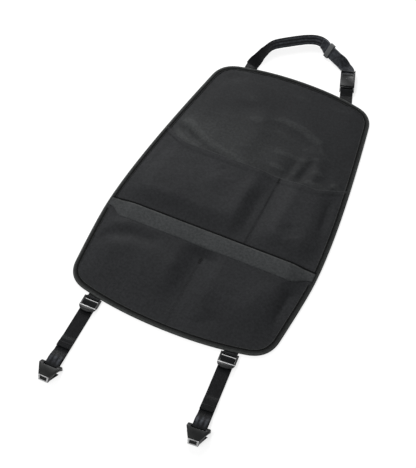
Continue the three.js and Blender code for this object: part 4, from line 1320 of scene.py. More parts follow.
    def lower(self) -> Object:
        """Builds the lower pocket's cloth.

        Returns:
            The closed sheet.
        """
        reach = self.outline.half_width_at(self.mouth_y, self.tuck)
        mouth = np.array([[-reach, self.mouth_y - 0.6], [reach, self.mouth_y - 0.6]])
        plan = coons(*self.outline.edges(self.tuck, high=mouth), self.columns, 92)
        x, y = plan[..., 0], plan[..., 1]
        piece = cloth_shell("lower_pocket_cloth", plan, self.lower_height(x, y), self.cloth)
        # Painted shade along the divider seam.
        seam = 0.25 * bell(x - self.lower_divider, 1.5) * (1 - self._past_divider(y))
        mark_shell(piece, worn=np.zeros_like(x), pressed=seam)
        return piece

    def band(self) -> Object:
        """Builds the band on the lower pocket's mouth, its lower edge turned up at both ends.

        Returns:
            The closed sheet.
        """
        u = np.linspace(-1, 1, self.band_columns + 1)
        x_mouth = u * self.outline.half_width_at(self.mouth_y, self.tuck)
        end_at = self.outline.half_width_at(self.mouth_y, self.binding_width)
        turned_up = self.band_end_rise * smoothstep(np.abs(x_mouth), end_at - 34, end_at + 2)
        v = np.concatenate([np.linspace(0, 0.88, 16, endpoint=False), np.linspace(0.88, 1, 10)])[:, None]
        y = lerp((self.mouth_y - self.band_width + turned_up)[None, :], self.mouth_y, v)
        x = u[None, :] * self.outline.half_width_at(y, self.tuck)
        above = self.mouth_y - y
        seam = 0.45 * (1 - smoothstep(above, 3.4, 4.4))
        thick = self.band_cloth * (0.25 + 0.75 * smoothstep(v * self.band_width, 0, 3.0)) - seam
        pad = 0.35 * np.sin(np.clip(above / self.band_width, 0, 1) * math.pi)
        under = self.lower_height(x, y) + self.cloth + 0.05
        piece = cloth_shell("lower_pocket_band_cloth", np.dstack([x, y]), under, thick + pad)
        # Painted shade: the band's top 4 mm is darkened into the dark line along the mouth, with a lighter
        # line just below it.
        mark_shell(piece, worn=0.8 * bell(above - 5.2, 1.2), pressed=1 - smoothstep(above, 3.6, 4.6))
        return piece

    def stitch_lines(self) -> list[Array]:
        """The seams of the pockets.

        Returns:
            Lines of points just above the cloth.
        """
        lines = []
        for drop, over in ((self.hem_seam, 0.3), (2.0, 0.42)):
            plan = resample(self._hem_line(drop)[4:-4], 240)
            lines.append(np.column_stack([plan, self.upper_height(*plan.T) + self.cloth + over]))
        for y, height, over in (
            (self.mouth_y - 2.2, self.lower_height, self.band_cloth),
            (self.mouth_y + 4.0, self.upper_height, 0.1),
        ):
            x = np.linspace(-1, 1, 260) * self.outline.half_width_at(y, self.binding_width + 1)
            level = np.full_like(x, y)
            lines.append(np.column_stack([x, level, height(x, level) + self.cloth + over]))
        bottom = self.outline.bottom + self.binding_width
        for x, low, high, height in (
            (self.upper_divider, self.mouth_y + 2, self.hem.level - 1, self.upper_height),
            (self.lower_divider, bottom, self.divider_top + 4, self.lower_height),
        ):
            for offset in (-0.9, 0.9):
                y = np.linspace(low, high, 120)
                across = np.full_like(y, x + offset)
                lines.append(np.column_stack([across, y, height(across, y) + self.cloth + 0.06]))
        return lines

    def bartacks(self) -> list[Array]:
        """Short dense zigzags where the divider seams end.

        Returns:
            Lines of points just above the cloth.
        """
        tacks = []
        for x, y, height in (
            (self.upper_divider, self.hem.level - 7.0, self.upper_height),
            (self.lower_divider, self.divider_top - 2.0, self.lower_height),
        ):
            t = np.arange(17)
            across = x + np.where(t % 2 == 0, -2.6, 2.6)
            upward = y - 6.0 + t * 0.75
            z = height(np.full(len(t), x), upward) + self.cloth + 0.7
            tacks.append(np.column_stack([across, upward, z]))
        return tacks

    def build(self, finishes: Finishes) -> None:
        """Makes and dresses the pockets and the band.

        Args:
            finishes: The object's finishes.
        """
        upper = finishes.dress(self.upper(), Finishes.POCKET, ["upper_pocket"])
        lower = finishes.dress(self.lower(), Finishes.POCKET, ["lower_pocket"])
        band = finishes.dress(self.band(), Finishes.BAND, ["lower_pocket_band"])


# Webbing


@dataclass
class Webbing:
    """A woven strap: rounded section, its face normals and its way in millimetres."""

    width: float = 25.0
    thickness: float = 1.4
    pressed: float = 0.96

    def section(self) -> Array:
        """The strap's cross-section: flat faces, thin selvages and round edges.

        Returns:
            Points across the strap in millimetres and up it in shares of its thickness.
        """
        half, t = self.width / 2, 0.5
        right = [(half - 1.1, t), (half - 0.45, t * 0.86), (half - 0.08, t * 0.45), (half, 0.0),
                 (half - 0.08, -t * 0.45), (half - 0.45, -t * 0.86), (half - 1.1, -t)]
        flat_low = [(half * x, -t * 1.02) for x in np.linspace(0.84, -0.84, 13)]
        left = [(-x, -z) for x, z in right]
        flat_high = [(-x, -z) for x, z in flat_low]
        return np.array(right + flat_low + left + flat_high)

    def sweep(
        self, name: str, centres: Array, widths: Array, normals: Array,
        thickness: Amount | None = None, banded: Amount = 0.0, sheen: Amount = 0.0,
    ) -> Object:
        """Carries the section along stations.

        Args:
            name: The piece's name.
            centres: Middle of the strap at each station.
            widths: Direction across the strap.
            normals: Direction out of the strap's face.
            thickness: Thickness at each station, or the strap's own.
            banded: How much three painted sheen stripes along the strap show at each station.
            sheen: How much painted sheen lightens the strap evenly at each station.

        Returns:
            The closed strap with a UV map, across and along in metres.
        """
        count = len(centres)
        thick = np.broadcast_to(self.thickness if thickness is None else thickness, count)
        section = self.section()
        rings = (
            centres[:, None, :]
            + widths[:, None, :] * section[None, :, :1]
            + normals[:, None, :] * (section[None, :, 1:] * thick[:, None, None])
        )
        number = numbered(count, len(section))
        around = grid_faces(np.pad(number, ((0, 0), (0, 1)), mode="wrap"))
        faces = around.tolist() + self._caps(number[0]) + self._caps(number[-1])
        piece = make_object(name, rings.reshape(-1, 3), faces)
        travel = arc_lengths(centres)
        across = section[:, 0] + self.width / 2
        set_uv(piece, across, travel)
        selvage = smoothstep(np.abs(section[:, 0]), self.width / 2 - 1.2, self.width / 2) * 0.6
        ends = np.exp(-np.minimum(travel, travel[-1] - travel) / 0.7) * 0.5
        set_attribute(piece, "worn", np.maximum(selvage[None, :], ends[:, None]))
        # Painted sheen: three lengthwise stripes across the strap, plus an even share.
        wave = 0.5 - 0.5 * np.cos(across / self.width * 6 * math.pi)
        lit = wave[None, :] * np.broadcast_to(banded, count)[:, None] + np.broadcast_to(sheen, count)[:, None]
        set_attribute(piece, "banded", lit)
        return piece

    @staticmethod
    def _caps(ring: Array) -> list[list[int]]:
        """Closes one end with a row of faces across the strap.

        Args:
            ring: The end's point numbers.

        Returns:
            The corner numbers of each face.
        """
        n = len(ring)
        tip = 3
        faces = []
        for k in range(n // 2):
            corners = [ring[i % n] for i in (tip - k, tip - k - 1, tip + k + 1, tip + k)]
            faces.append([int(v) for v in dict.fromkeys(corners)])
        return [face for face in faces if len(face) > 2]

    def along(self, name: str, place: Place, path: Array, **details: Amount) -> Object:
        """Carries the webbing along a side profile.

        Args:
            name: The piece's name.
            place: Where the profile stands.
            path: Outward distance and height of each station.
            details: Thickness and painted sheen, as in sweep.

        Returns:
            The closed strap.
        """
        turn = unit(np.gradient(path, axis=0))
        centres = place.points(0.0, path[:, 0], path[:, 1])
        widths = np.broadcast_to(place.vectors(1.0, 0.0, 0.0), centres.shape)
        normals = place.vectors(0.0, -turn[:, 1], turn[:, 0])
        return self.sweep(name, centres, widths, normals, **details)

    def sewn_loop(
        self, name: str, place: Place, profile: Profile, spacing: float, joins: float, ramp: float
    ) -> Object:
        """Makes a loop whose two ends are sewn flat under the panel, where the webbing is pressed thin.

        Args:
            name: The piece's name.
            place: Where the profile stands.
            profile: The loop's way from the side.
            spacing: Distance between stations.
            joins: Outward distance where the ends meet.
            ramp: Distance over which the webbing gets its full thickness.

        Returns:
            The closed loop.
        """
        line = rounded_path(profile, spacing)
        full = smoothstep(line[:, 0], joins, joins + ramp)
        return self.along(name, place, line, thickness=lerp(self.pressed, self.thickness, full))


@dataclass(frozen=True)
class Place:
    """Where a strap starts on the plan and how it is turned. Outward runs along the strap."""

    x: float
    y: float
    turn: float = 0.0

    def points(self, across: Amount, outward: Amount, z: Amount) -> Array:
        """Points from distances across, outward and up."""
        across, outward, z = np.broadcast_arrays(np.asarray(across, float), outward, z)
        c, s = math.cos(self.turn), math.sin(self.turn)
        return np.stack([self.x + c * across + s * outward, self.y + s * across - c * outward, z], axis=-1)

    def vectors(self, across: Amount, outward: Amount, z: Amount) -> Array:
        """Directions in the same terms."""
        return self.points(across, outward, z) - np.array([self.x, self.y, 0.0])

LEFT_LOCK = Place(-132.0, -312.7)
RIGHT_LOCK = Place(132.0, -312.7, math.radians(4.6))


def profile_arc(x: float, z: float, radius: float, start: float, end: float, count: int) -> Profile:
    """Points on an arc in a side profile, angles in degrees."""
    angles = np.radians(np.linspace(start, end, count + 1))
    return [(x + radius * math.cos(a), z + radius * math.sin(a)) for a in angles]


def profile_ramp(x0: float, z0: float, x1: float, z1: float, count: int) -> Profile:
    """Points on a soft step between two heights."""
    t = np.linspace(0, 1, count + 1)
    return list(zip(lerp(x0, x1, t), lerp(z0, z1, smoothstep(t, 0, 1))))


def profile_arched(points: Profile, height: float) -> Profile:
    """Lifts a side profile into an arch, its ends left where they are."""
    last = len(points) - 1
    return [(x, z + height * math.sin(math.pi * i / last) ** 2) for i, (x, z) in enumerate(points)]


def eased(values: Array, rounds: int) -> Array:
    """Smooths a row of values in place, both ends held.

    Args:
        values: One value or point for each station.
        rounds: How many times each is averaged with its neighbours.

    Returns:
        The same values.
    """
    for _ in range(rounds):
        values[1:-1] = 0.25 * values[:-2] + 0.5 * values[1:-1] + 0.25 * values[2:]
    return values


def rounded_path(points: Profile, spacing: float) -> Array:
    """Evenly spaced points along a profile, its corners eased.

    Args:
        points: The profile.
        spacing: Distance between the points wanted.

    Returns:
        One row for each point.
    """
    line = np.array(points, float)
    return eased(resample(line, max(int(arc_lengths(line)[-1] / spacing), 8)), 3)


@dataclass
class Strap:
    """What the straps share: their webbing and the small gap between its layers."""

    webbing: Webbing = field(default_factory=Webbing, kw_only=True)
    gap: float = field(default=0.3, kw_only=True)

    @property
    def layer(self) -> float:
        """Step from one layer to the next."""
        return self.webbing.thickness + self.gap

    @property
    def half_web(self) -> float:
        """Half the webbing's thickness."""
        return self.webbing.thickness / 2

    def wrap(self, bar_radius: float) -> float:
        """Radius of the webbing's middle where it goes round a bar."""
        return bar_radius + self.gap + self.half_web


@dataclass
class LowerStrap(Strap):
    """One lower strap: sewn loop, ladder lock, threaded webbing with a hemmed tail, and hook."""

    side: str
    place: Place
    tail_at: float
    strap_body: Body
    hook_body: Body
    top_bar_radius: float = 1.8
    mid_bar_radius: float = 1.5
    mid_bar_at: float = 7.9
    lip_start: float = 18.0
    lip_shine: float = 2.4
    lip_floor: float = 6.2
    hook_bar_at: float = 147.5
    hook_bar_radius: float = 2.2
    hook_height: float = 13.2
    nose_at: float = 26.3
    nose_slope: float = 0.417
    nose_depth: float = 0.7
    fold_back: float = 52.0
    fold_arch: float = 2.2
    arch_sheen: float = 0.8
    sheen_before: float = 12.0
    sheen_length: float = 7.0
    tuck: float = 46.0
    tail_hem: float = 11.0
    stitch_reach: float = 11.2

    @property
    def load_z(self) -> float:
        """Height of the lowest layer's middle."""
        return self.half_web

    @property
    def tail_z(self) -> float:
        """Height of the second layer's middle."""
        return self.load_z + self.layer

    def strap(self) -> Object:
        """Builds the adjustable strap, from its hemmed tail to the end folded round the hook.

        Returns:
            The closed strap.
        """
        web = self.webbing.thickness
        mid_wrap, hook_wrap = self.wrap(self.mid_bar_radius), self.wrap(self.hook_bar_radius)
        mid_z, hook_z = self.load_z + mid_wrap, self.load_z + hook_wrap
        over = self.tail_z + self.layer
        fold_end = self.hook_bar_at - self.fold_back
        clear = self.lip_start - 2.5
        arch = profile_ramp(self.hook_bar_at - 3, hook_z + hook_wrap - 0.1, self.tail_at + 5, self.tail_z, 14)
        path = [
            (self.tail_at - self.tail_hem, over + web + 0.05),
            (self.tail_at - 2.2, over + web + 0.1),
            *profile_arc(self.tail_at - 1.2, over + web / 2, 0.75, 80, -80, 6),
            *profile_ramp(self.tail_at - 2.2, over, fold_end - 1, over, 2),
            *profile_ramp(fold_end - 2, over, fold_end - 12, self.tail_z, 8),
            (clear, self.tail_z),
            (clear - 1.4, self.tail_z + 0.2),
            *profile_arc(self.mid_bar_at, mid_z, mid_wrap, 45, 270, 24),
            *profile_arc(self.hook_bar_at, hook_z, hook_wrap, -90, 90, 20),
            *profile_arched(arch, self.fold_arch),
            (fold_end, self.tail_z),
        ]
        line = rounded_path(path, 0.85)
        # Painted sheen: a bright patch on the top of the arch just before the hook.
        on_arch = smoothstep(line[:, 1], self.tail_z + 0.3, self.tail_z + 1.6)
        beside = line[:, 0] - self.hook_bar_at + self.sheen_before
        sheen = self.arch_sheen * on_arch * bell(beside, self.sheen_length)
        return self.webbing.along(f"{self.side}_strap_webbing", self.place, line, banded=sheen)

    def loop(self) -> Object:
        """Builds the sewn loop round the lock's top bar, its tail flat under the panel.

        Returns:
            The closed loop.
        """
        bar_z = self.top_bar_radius + self.gap + self.webbing.thickness
        drop = bar_z + 0.7
        path = [
            (-self.tuck, 0.5), (-drop - 1, 0.5), (-drop + 1, 0.55),
            *profile_arc(0, bar_z, self.wrap(self.top_bar_radius), -100, 190, 26),
            (-drop + 0.5, 1.6), (-drop - 1, 1.5), (-self.tuck, 1.5),
        ]
        return self.webbing.sewn_loop(f"{self.side}_lock_loop_webbing", self.place, path, 0.7, -drop, 4.0)

    def stitch_lines(self) -> list[Array]:
        """Two seams across the hemmed tail.

        Returns:
            Lines of points just above the webbing.
        """
        top = self.tail_z + self.layer + 1.5 * self.webbing.thickness
        across = np.linspace(-self.stitch_reach, self.stitch_reach, 30)
        seams = ((self.tail_at - 2.6, top + 0.2), (self.tail_at - self.tail_hem + 1.6, top + 0.15))
        return [self.place.points(across, outward, z) for outward, z in seams]

    def build(self, finishes: Finishes) -> None:
        """Makes and dresses the pieces of this strap.

        Args:
            finishes: The object's finishes.
        """
        finishes.dress(self.loop(), Finishes.WEBBING, [f"{self.side}_lock_loop"])
        finishes.dress(self.strap(), Finishes.WEBBING, [f"{self.side}_strap"], self.strap_body)
        # Painted highlights: on the lock's lip edge, which a plane across the lock cuts off, and on the
        # hook's softened edges and nose.
        lip_end = self.place.points(0.0, self.lip_start + self.lip_shine, 0.0)
        along = self.place.vectors(0.0, 1.0, 0.0)
        moulded(
            f"{self.side}_ladder_lock", 0.8, finishes, Finishes.MOULDING, self.strap_body,
            lambda centre, edge: self._in_lip_highlight(centre), (lip_end, along))
        moulded(
            f"{self.side}_hook", 1.1, finishes, Finishes.HOOK, self.hook_body,
            lambda centre, edge: edge or self._in_nose_highlight(centre))

    def _outward(self, centre: Vector) -> float:
        """How far along the strap a point lies."""
        c, s = math.cos(self.place.turn), math.sin(self.place.turn)
        return s * (centre.x - self.place.x) - c * (centre.y - self.place.y)

    def _in_lip_highlight(self, centre: Vector) -> bool:
        """Whether a point lies on the upper edge of the ladder lock's lip, which gets a painted highlight."""
        return abs(self._outward(centre) - self.lip_start) < self.lip_shine and centre.z > self.lip_floor

    def _in_nose_highlight(self, centre: Vector) -> bool:
        """Whether a point lies on the frame of the hook's sloping nose, which gets a painted highlight."""
        face = self.hook_bar_at + self.nose_at + self.nose_slope * (self.hook_height - centre.z)
        return self._outward(centre) > face - self.nose_depth


def mark_edge_highlights(piece: Object, rubbed: Highlighted | None = None, score: Score | None = None) -> None:
    """Marks the faces of a moulding that get a painted highlight, its softened outer edges if not told
    otherwise.

    Args:
        piece: The moulding, with its softened edges in the second material slot.
        rubbed: Says whether a face gets the highlight, from its centre in millimetres and whether it is on an
            outer edge.
        score: A point in millimetres and the direction of a plane that parts the faces, if any.
    """
    bm = bmesh.new()
    bm.from_mesh(piece.data)
    if score is not None:
        parts = [*bm.verts, *bm.edges, *bm.faces]
        place, along = (Vector(row) for row in score)
        bmesh.ops.bisect_plane(bm, geom=parts, dist=1e-7, plane_co=place * MM, plane_no=along)
        bm.to_mesh(piece.data)
    worn = []
    for face in bm.faces:
        edge = face.material_index == 1 and sum(side.calc_face_angle_signed(0.0) for side in face.edges) > 0.1
        worn.append(float(rubbed(face.calc_center_median() / MM, edge) if rubbed else edge))
    bm.free()
    attribute = piece.data.attributes.new("worn", "FLOAT", "FACE")
    attribute.data.foreach_set("value", worn)
    piece.data.polygons.foreach_set("material_index", [0] * len(worn))


def moulded(
    node: str, bevel: float, finishes: Finishes, finish: Finish, body: Body = Body.PROTECTOR,
    rubbed: Highlighted | None = None, score: Score | None = None,
) -> Object:
    """Makes a moulding from its CAD node, with softened edges that get a painted highlight.

    Args:
        node: The CAD node.
        bevel: Width of the softened edges in millimetres.
        finishes: The object's finishes.
        finish: The moulding's own.
        body: The body that it moves with.
        rubbed: Says which faces get a painted highlight, as in mark_edge_highlights.
        score: As in mark_edge_highlights.

    Returns:
        The dressed moulding.
    """
    name = f"{node}_moulding"
    mesh = bpy.data.meshes.new(name)
    for _ in range(2):
        mesh.materials.append(finishes.get(finish))
    bm = bmesh.new()
    bm.from_mesh(bpy.data.objects[node].data)
    for face in bm.faces:
        face.material_index = 0
    bmesh.ops.remove_doubles(bm, verts=bm.verts, dist=1e-6)
    bmesh.ops.dissolve_limit(bm, angle_limit=FLAT_ANGLE, verts=bm.verts, edges=bm.edges)
    bm.to_mesh(mesh)
    bm.free()
    piece = linked(name, mesh)
    soften = piece.modifiers.new("soft_edges", "BEVEL")
    soften.width = bevel * MM
    soften.segments = 2
    soften.limit_method = "ANGLE"
    soften.angle_limit = SOFTENED_ANGLE
    soften.material = 1
    baked(piece)
    piece.data.shade_smooth()
    piece.data.set_sharp_from_angle(angle=SHARP_ANGLE)
    mark_edge_highlights(piece, rubbed, score)
    return finishes.dress(piece, finish, [node], body)


@dataclass
class HeadrestStrap(Strap):
    """The strap that stands in an arch above the panel, its tab, slider and buckle."""

    outline: PanelOutline
    slider_x: float = 27.6
    slider_above: float = 97.2
    slider_tilt: float = math.radians(52.0)
    slider_floor: float = 1.2
    tail_sheen: float = 0.42
    slider_side: float = 2.3
    buckle_x: float = 86.8
    buckle_above: float = 35.6
    buckle_turn: float = BUCKLE_TURN
    end_bar_at: float = -27.5
    wrap_bar_at: float = -21.0
    wrap_bar_radius: float = 1.5
    male_bar_at: float = 21.9
    male_bar_radius: float = 1.6
    male_bar_z: float = 5.0
    loop_closes: float = 13.0
    corner_reach: float = 5.0
    corner_before_buckle: float = 7.0
    twist_from: float = 25.0
    twist_to: float = 49.0
    tab_x: float = TAB_X
    tab_beyond: float = 8.0
    tab_tuck: float = 55.0
    loop_tuck: float = 46.0
    lead: float = 8.0
    curve_steps: int = 190
    tail_share: float = 0.885
    banded_shares: tuple[tuple[float, float], ...] = ((0.36, 0.5), (0.84, 0.92))
    curve: tuple[tuple[float, float, float, float], ...] = (
        (-92.2, -5.4, 2.4, 14), (-91.4, 1, 2.4, 30), (-90.4, 8, 2.4, 42), (-90.2, 17, 1.6, 53),
        (-90.6, 27, 0.9, 64), (-89.2, 38, 0.9, 74), (-86.6, 51, 0.9, 80), (-81.6, 60.5, 0.9, 82),
        (-70.5, 70.5, 0.9, 82), (-56.5, 81, 0.9, 81), (-39, 94, 0.9, 82), (-24, 103.5, 0.9, 84),
        (-9, 108.3, 0.9, 83), (0.5, 106.5, 1.2, 77), (8.5, 99.8, 2.4, 64),
    )

    @property
    def lower_z(self) -> float:
        """Height of the lower layer's middle where the strap lies flat."""
        return self.slider_floor + self.gap + self.half_web

    def _buckle(self) -> tuple[Array, Array]:
        """The buckle's centre and the direction from it toward the panel."""
        heading = self.buckle_turn - math.pi / 2
        centre = point(self.buckle_x, self.outline.top + self.buckle_above)
        return centre, point(math.cos(heading), math.sin(heading))
    @staticmethod
    def _through(knots: Array, count: int) -> tuple[Array, Array]:
        """A centripetal curve through knots.

        Args:
            knots: Points that the curve passes.
            count: How many points to return, the last knot left out.

        Returns:
            Points on the curve and the fractional knot number of each.
        """
        padded = np.vstack([2 * knots[0] - knots[1], knots, 2 * knots[-1] - knots[-2]])
        places = np.linspace(0, len(knots) - 1, count, endpoint=False)
        points = []
        for place in places:
            i = int(place)
            p = padded[i:i + 4]
            d = np.sqrt(np.linalg.norm(np.diff(p, axis=0), axis=1))
            m1 = ((p[1] - p[0]) / d[0] - (p[2] - p[0]) / (d[0] + d[1]) + (p[2] - p[1]) / d[1]) * d[1]
            m2 = ((p[2] - p[1]) / d[1] - (p[3] - p[1]) / (d[1] + d[2]) + (p[3] - p[2]) / d[2]) * d[1]
            t = place - i
            points.append(
                (2 * t**3 - 3 * t**2 + 1) * p[1] + (t**3 - 2 * t**2 + t) * m1
                + (-2 * t**3 + 3 * t**2) * p[2] + (t**3 - t**2) * m2)
        return np.array(points), places

    def _straight(self) -> tuple[Array, Array, Array]:
        """The stretch from just before the slider, where it is tilted, to the wrap bar, where it is flat.

        Returns:
            Lower edge points, plan directions and tilts.
        """
        centre, axis = self._buckle()
        corner = centre + axis * (self.end_bar_at - self.corner_before_buckle)
        slider = np.array([self.slider_x, self.outline.top + self.slider_above])
        straight = unit(corner - slider)
        t = np.linspace(0, 1, 14)[:, None]
        bend = bent(corner - straight * self.corner_reach, corner, corner + axis * self.corner_reach, t)
        start, end = slider - straight * self.lead, centre + axis * self.wrap_bar_at
        line = resample(np.vstack([[start], bend, [end]]), 90)
        heading = unit(np.gradient(line, axis=0))
        share = 1 - smoothstep(arc_lengths(line) - self.lead, self.twist_from, self.twist_to)
        rise, level = math.sin(self.slider_tilt), math.cos(self.slider_tilt)
        above = (self.gap + self.slider_side) * rise + self.lower_z * level
        aside = np.column_stack([heading[:, 1], -heading[:, 0]]) * self.webbing.width / 2
        edge = np.column_stack([line + aside, lerp(self.lower_z, above, share)])
        return edge, heading, self.slider_tilt * share

    def stations(self) -> tuple[Array, Array, Array]:
        """Centres, width directions and face normals from the root to the wrap bar.

        Returns:
            Three arrays with one row for each station.
        """
        edge, heading, straight_tilt = self._straight()
        knots = np.array([(x, self.outline.top + y, z) for x, y, z, _ in self.curve] + [tuple(edge[0])])
        tilts = np.array([row[3] for row in self.curve] + [math.degrees(self.slider_tilt)])
        inner, places = self._through(knots, self.curve_steps)
        along = np.gradient(np.vstack([inner, knots[-1:]])[:, :2], axis=0)[:-1]
        row = places.astype(int)
        t = places - row
        tilt = np.radians(lerp(tilts[row], tilts[row + 1], smoothstep(t, 0, 1) * 0.4 + t * 0.6))
        along = np.vstack([unit(along), heading])
        tilt = eased(np.concatenate([tilt, straight_tilt]), 12)
        widths = np.column_stack([-along[:, 1] * np.cos(tilt), along[:, 0] * np.cos(tilt), np.sin(tilt)])
        centres = np.vstack([inner, edge]) + widths * self.webbing.width / 2
        tangents = unit(np.gradient(centres, axis=0))
        return centres, widths, unit(np.cross(tangents, widths))

    def strap(self) -> Object:
        """Builds the strap: out along the arch, round the wrap bar and back on itself.

        Returns:
            The closed strap, with painted sheen stripes on the arch and even painted sheen on the layer that
            lies back.
        """
        centres, widths, normals = self.stations()
        wrap = self.wrap(self.wrap_bar_radius)
        tail_z = self.lower_z + self.layer
        path = np.array([
            *profile_arc(self.wrap_bar_at, self.lower_z + wrap, wrap, -80, 120, 18),
            (self.end_bar_at + 3, tail_z + 0.4), (self.end_bar_at + 1, tail_z),
        ])
        centre, axis = self._buckle()
        turn = unit(np.gradient(path, axis=0))
        wrap_centres = np.column_stack([centre + axis * path[:, :1], path[:, 1]])
        wrap_widths = np.broadcast_to([-axis[1], axis[0], 0.0], wrap_centres.shape)
        wrap_normals = unit(np.cross(np.column_stack([axis * turn[:, :1], turn[:, 1]]), wrap_widths))
        first = int(self.curve_steps * self.tail_share)
        travel = arc_lengths(centres)
        number = np.arange(len(centres))
        past_bar = travel < travel[-1] - (self.wrap_bar_at - self.end_bar_at) - 1.5
        keep = np.flatnonzero(past_bar & (number >= first))[::-1]
        opening = np.exp(-np.abs(travel[keep] - travel[first]) / 9.0)[:, None]
        back = centres[keep] + normals[keep] * (self.layer + 1.3 * opening)
        # Painted sheen: stripes over the arch, and an even share on the layer that lies back.
        rises, falls = ([share * self.curve_steps for share in ramp] for ramp in self.banded_shares)
        arch = smoothstep(number, *rises) * (1 - smoothstep(number, *falls))
        returned = np.ones(len(wrap_centres) + len(keep))
        return self.webbing.sweep(
            "headrest_strap_webbing",
            np.vstack([centres, wrap_centres, back]),
            np.vstack([widths, wrap_widths, widths[keep]]),
            np.vstack([normals, wrap_normals, -normals[keep]]),
            banded=np.concatenate([arch, np.zeros_like(returned)]),
            sheen=np.concatenate([np.zeros_like(arch), self.tail_sheen * returned]),
        )

    def tab(self) -> Object:
        """Builds the root tab, flat under the panel's edge."""
        path = rounded_path([(-self.tab_tuck, 0.7), (self.tab_beyond, 0.7)], 1.0)
        return self.webbing.along("headrest_tab_webbing", Place(self.tab_x, self.outline.top, math.pi), path)

    def buckle_loop(self) -> Object:
        """Builds the short strap sewn under the panel and looped through the buckle's pronged half.

        Returns:
            The closed loop.
        """
        centre, axis = self._buckle()
        place = Place(*(centre + axis * self.male_bar_at), self.buckle_turn + math.pi)
        ring = self.wrap(self.male_bar_radius)
        tail = self.loop_tuck + self.buckle_above - self.male_bar_at
        path = [
            (-tail, 0.5), (-self.loop_closes, 0.5), (-9.0, 0.9), (-2.6, self.male_bar_z - ring + 0.3),
            *profile_arc(0, self.male_bar_z, ring, -80, 135, 22),
            (-9.0, 2.9), (-self.loop_closes, 1.5), (-tail, 1.5),
        ]
        return self.webbing.sewn_loop("buckle_strap_webbing", place, path, 0.8, -self.loop_closes, 5.0)

    def build(self, finishes: Finishes) -> None:
        """Makes and dresses the headrest strap's pieces.

        Args:
            finishes: The object's finishes.
        """
        finishes.dress(self.strap(), Finishes.WEBBING, ["headrest_strap"])
        finishes.dress(self.tab(), Finishes.WEBBING, ["headrest_tab"])
        finishes.dress(self.buckle_loop(), Finishes.WEBBING, ["buckle_strap"])
        moulded("buckle_female", 0.5, finishes, Finishes.MOULDING)
        moulded("buckle_male", 0.4, finishes, Finishes.MOULDING)
        moulded("strap_slider", 0.35, finishes, Finishes.SLIDER, Body.SLIDER)


# Stitches


class StitchTree:
    """A Geometry Nodes tree that lays thread stitches along lines."""

    INPUTS = (
        ("Pitch", "NodeSocketFloat", 0.0033),
        ("Length", "NodeSocketFloat", 0.0024),
        ("Thickness", "NodeSocketFloat", 0.0005),
        ("Seed", "NodeSocketInt", SEED),
        ("Thread", "NodeSocketMaterial", None),
    )

    def __init__(self) -> None:
        """Builds the tree."""
        tree = bpy.data.node_groups.new("Stitch Lines", "GeometryNodeTree")
        tree.interface.new_socket(name="Geometry", in_out="INPUT", socket_type="NodeSocketGeometry")
        self.identifiers: dict[str, str] = {}
        for label, kind, value in self.INPUTS:
            socket = tree.interface.new_socket(name=label, in_out="INPUT", socket_type=kind)
            if value is not None:
                socket.default_value = value
            self.identifiers[label] = socket.identifier
        tree.interface.new_socket(name="Geometry", in_out="OUTPUT", socket_type="NodeSocketGeometry")
        g = Graph(tree)
        given = g.add("NodeGroupInput").outputs
        curve = g.add("GeometryNodeMeshToCurve", {0: given["Geometry"]})
        even = g.add(
            "GeometryNodeResampleCurve", {"Curve": curve.outputs[0], "Length": given["Pitch"]}, mode="LENGTH")
        ball = g.add("GeometryNodeMeshUVSphere", {"Segments": 7, "Rings": 5, "Radius": 0.5})
        flattened = g.product(given["Thickness"], 0.8)
        size = g.add("ShaderNodeCombineXYZ", {0: given["Length"], 1: given["Thickness"], 2: flattened})
        stitch = g.add("GeometryNodeTransform", {"Geometry": ball.outputs["Mesh"], "Scale": size.outputs[0]})
        tangent = g.add("GeometryNodeInputTangent").outputs[0]
        aim = g.add("FunctionNodeAlignRotationToVector", {"Vector": tangent}, axis="X")
        vary = g.add("FunctionNodeRandomValue", {2: 0.86, 3: 1.08, "Seed": given["Seed"]}, data_type="FLOAT")
        placed = g.add("GeometryNodeInstanceOnPoints", {
            "Points": even.outputs[0], "Instance": stitch.outputs[0],
            "Rotation": aim.outputs[0], "Scale": vary.outputs[1],
        })
        real = g.add("GeometryNodeRealizeInstances", {0: placed.outputs[0]})
        smooth = g.add("GeometryNodeSetShadeSmooth", {0: real.outputs[0]})
        sewn = g.add("GeometryNodeSetMaterial", {"Geometry": smooth.outputs[0], "Material": given["Thread"]})
        g.add("NodeGroupOutput", {"Geometry": sewn.outputs[0]})
        self.tree = tree

    def sew(self, name: str, lines: Sequence[Array], thread: Material, **sizes: float) -> Object:
        """Lays stitches along lines.

        Args:
            name: The piece's name.
            lines: Lines of points in millimetres.
            thread: The thread's material.
            sizes: Pitch, Length or Thickness in metres where they differ from the tree's.

        Returns:
            A plain mesh of all the stitches.
        """
        points = np.vstack(lines)
        edges, start = [], 0
        for line in lines:
            edges += [(start + i, start + i + 1) for i in range(len(line) - 1)]
            start += len(line)
        mesh = bpy.data.meshes.new(name)
        mesh.from_pydata((points * MM).tolist(), edges, [])
        piece = linked(name, mesh)
        modifier = piece.modifiers.new("stitches", "NODES")
        modifier.node_group = self.tree
        for label, value in {"Thread": thread, "Seed": SEED, **sizes}.items():
            modifier[self.identifiers[label]] = value
        return baked(piece)


def joined(name: str, pieces: Sequence[Object]) -> Object:
    """Joins meshes of one material into a new piece.

    Args:
        name: The new piece's name.
        pieces: The pieces, which are removed.

    Returns:
        The joined piece.
    """
    bm = bmesh.new()
    for piece in pieces:
        bm.from_mesh(piece.data)
    mesh = bpy.data.meshes.new(name)
    bm.to_mesh(mesh)
    bm.free()
    mesh.materials.append(pieces[0].data.materials[0])
    for piece in pieces:
        bpy.data.objects.remove(piece)
    return linked(name, mesh)


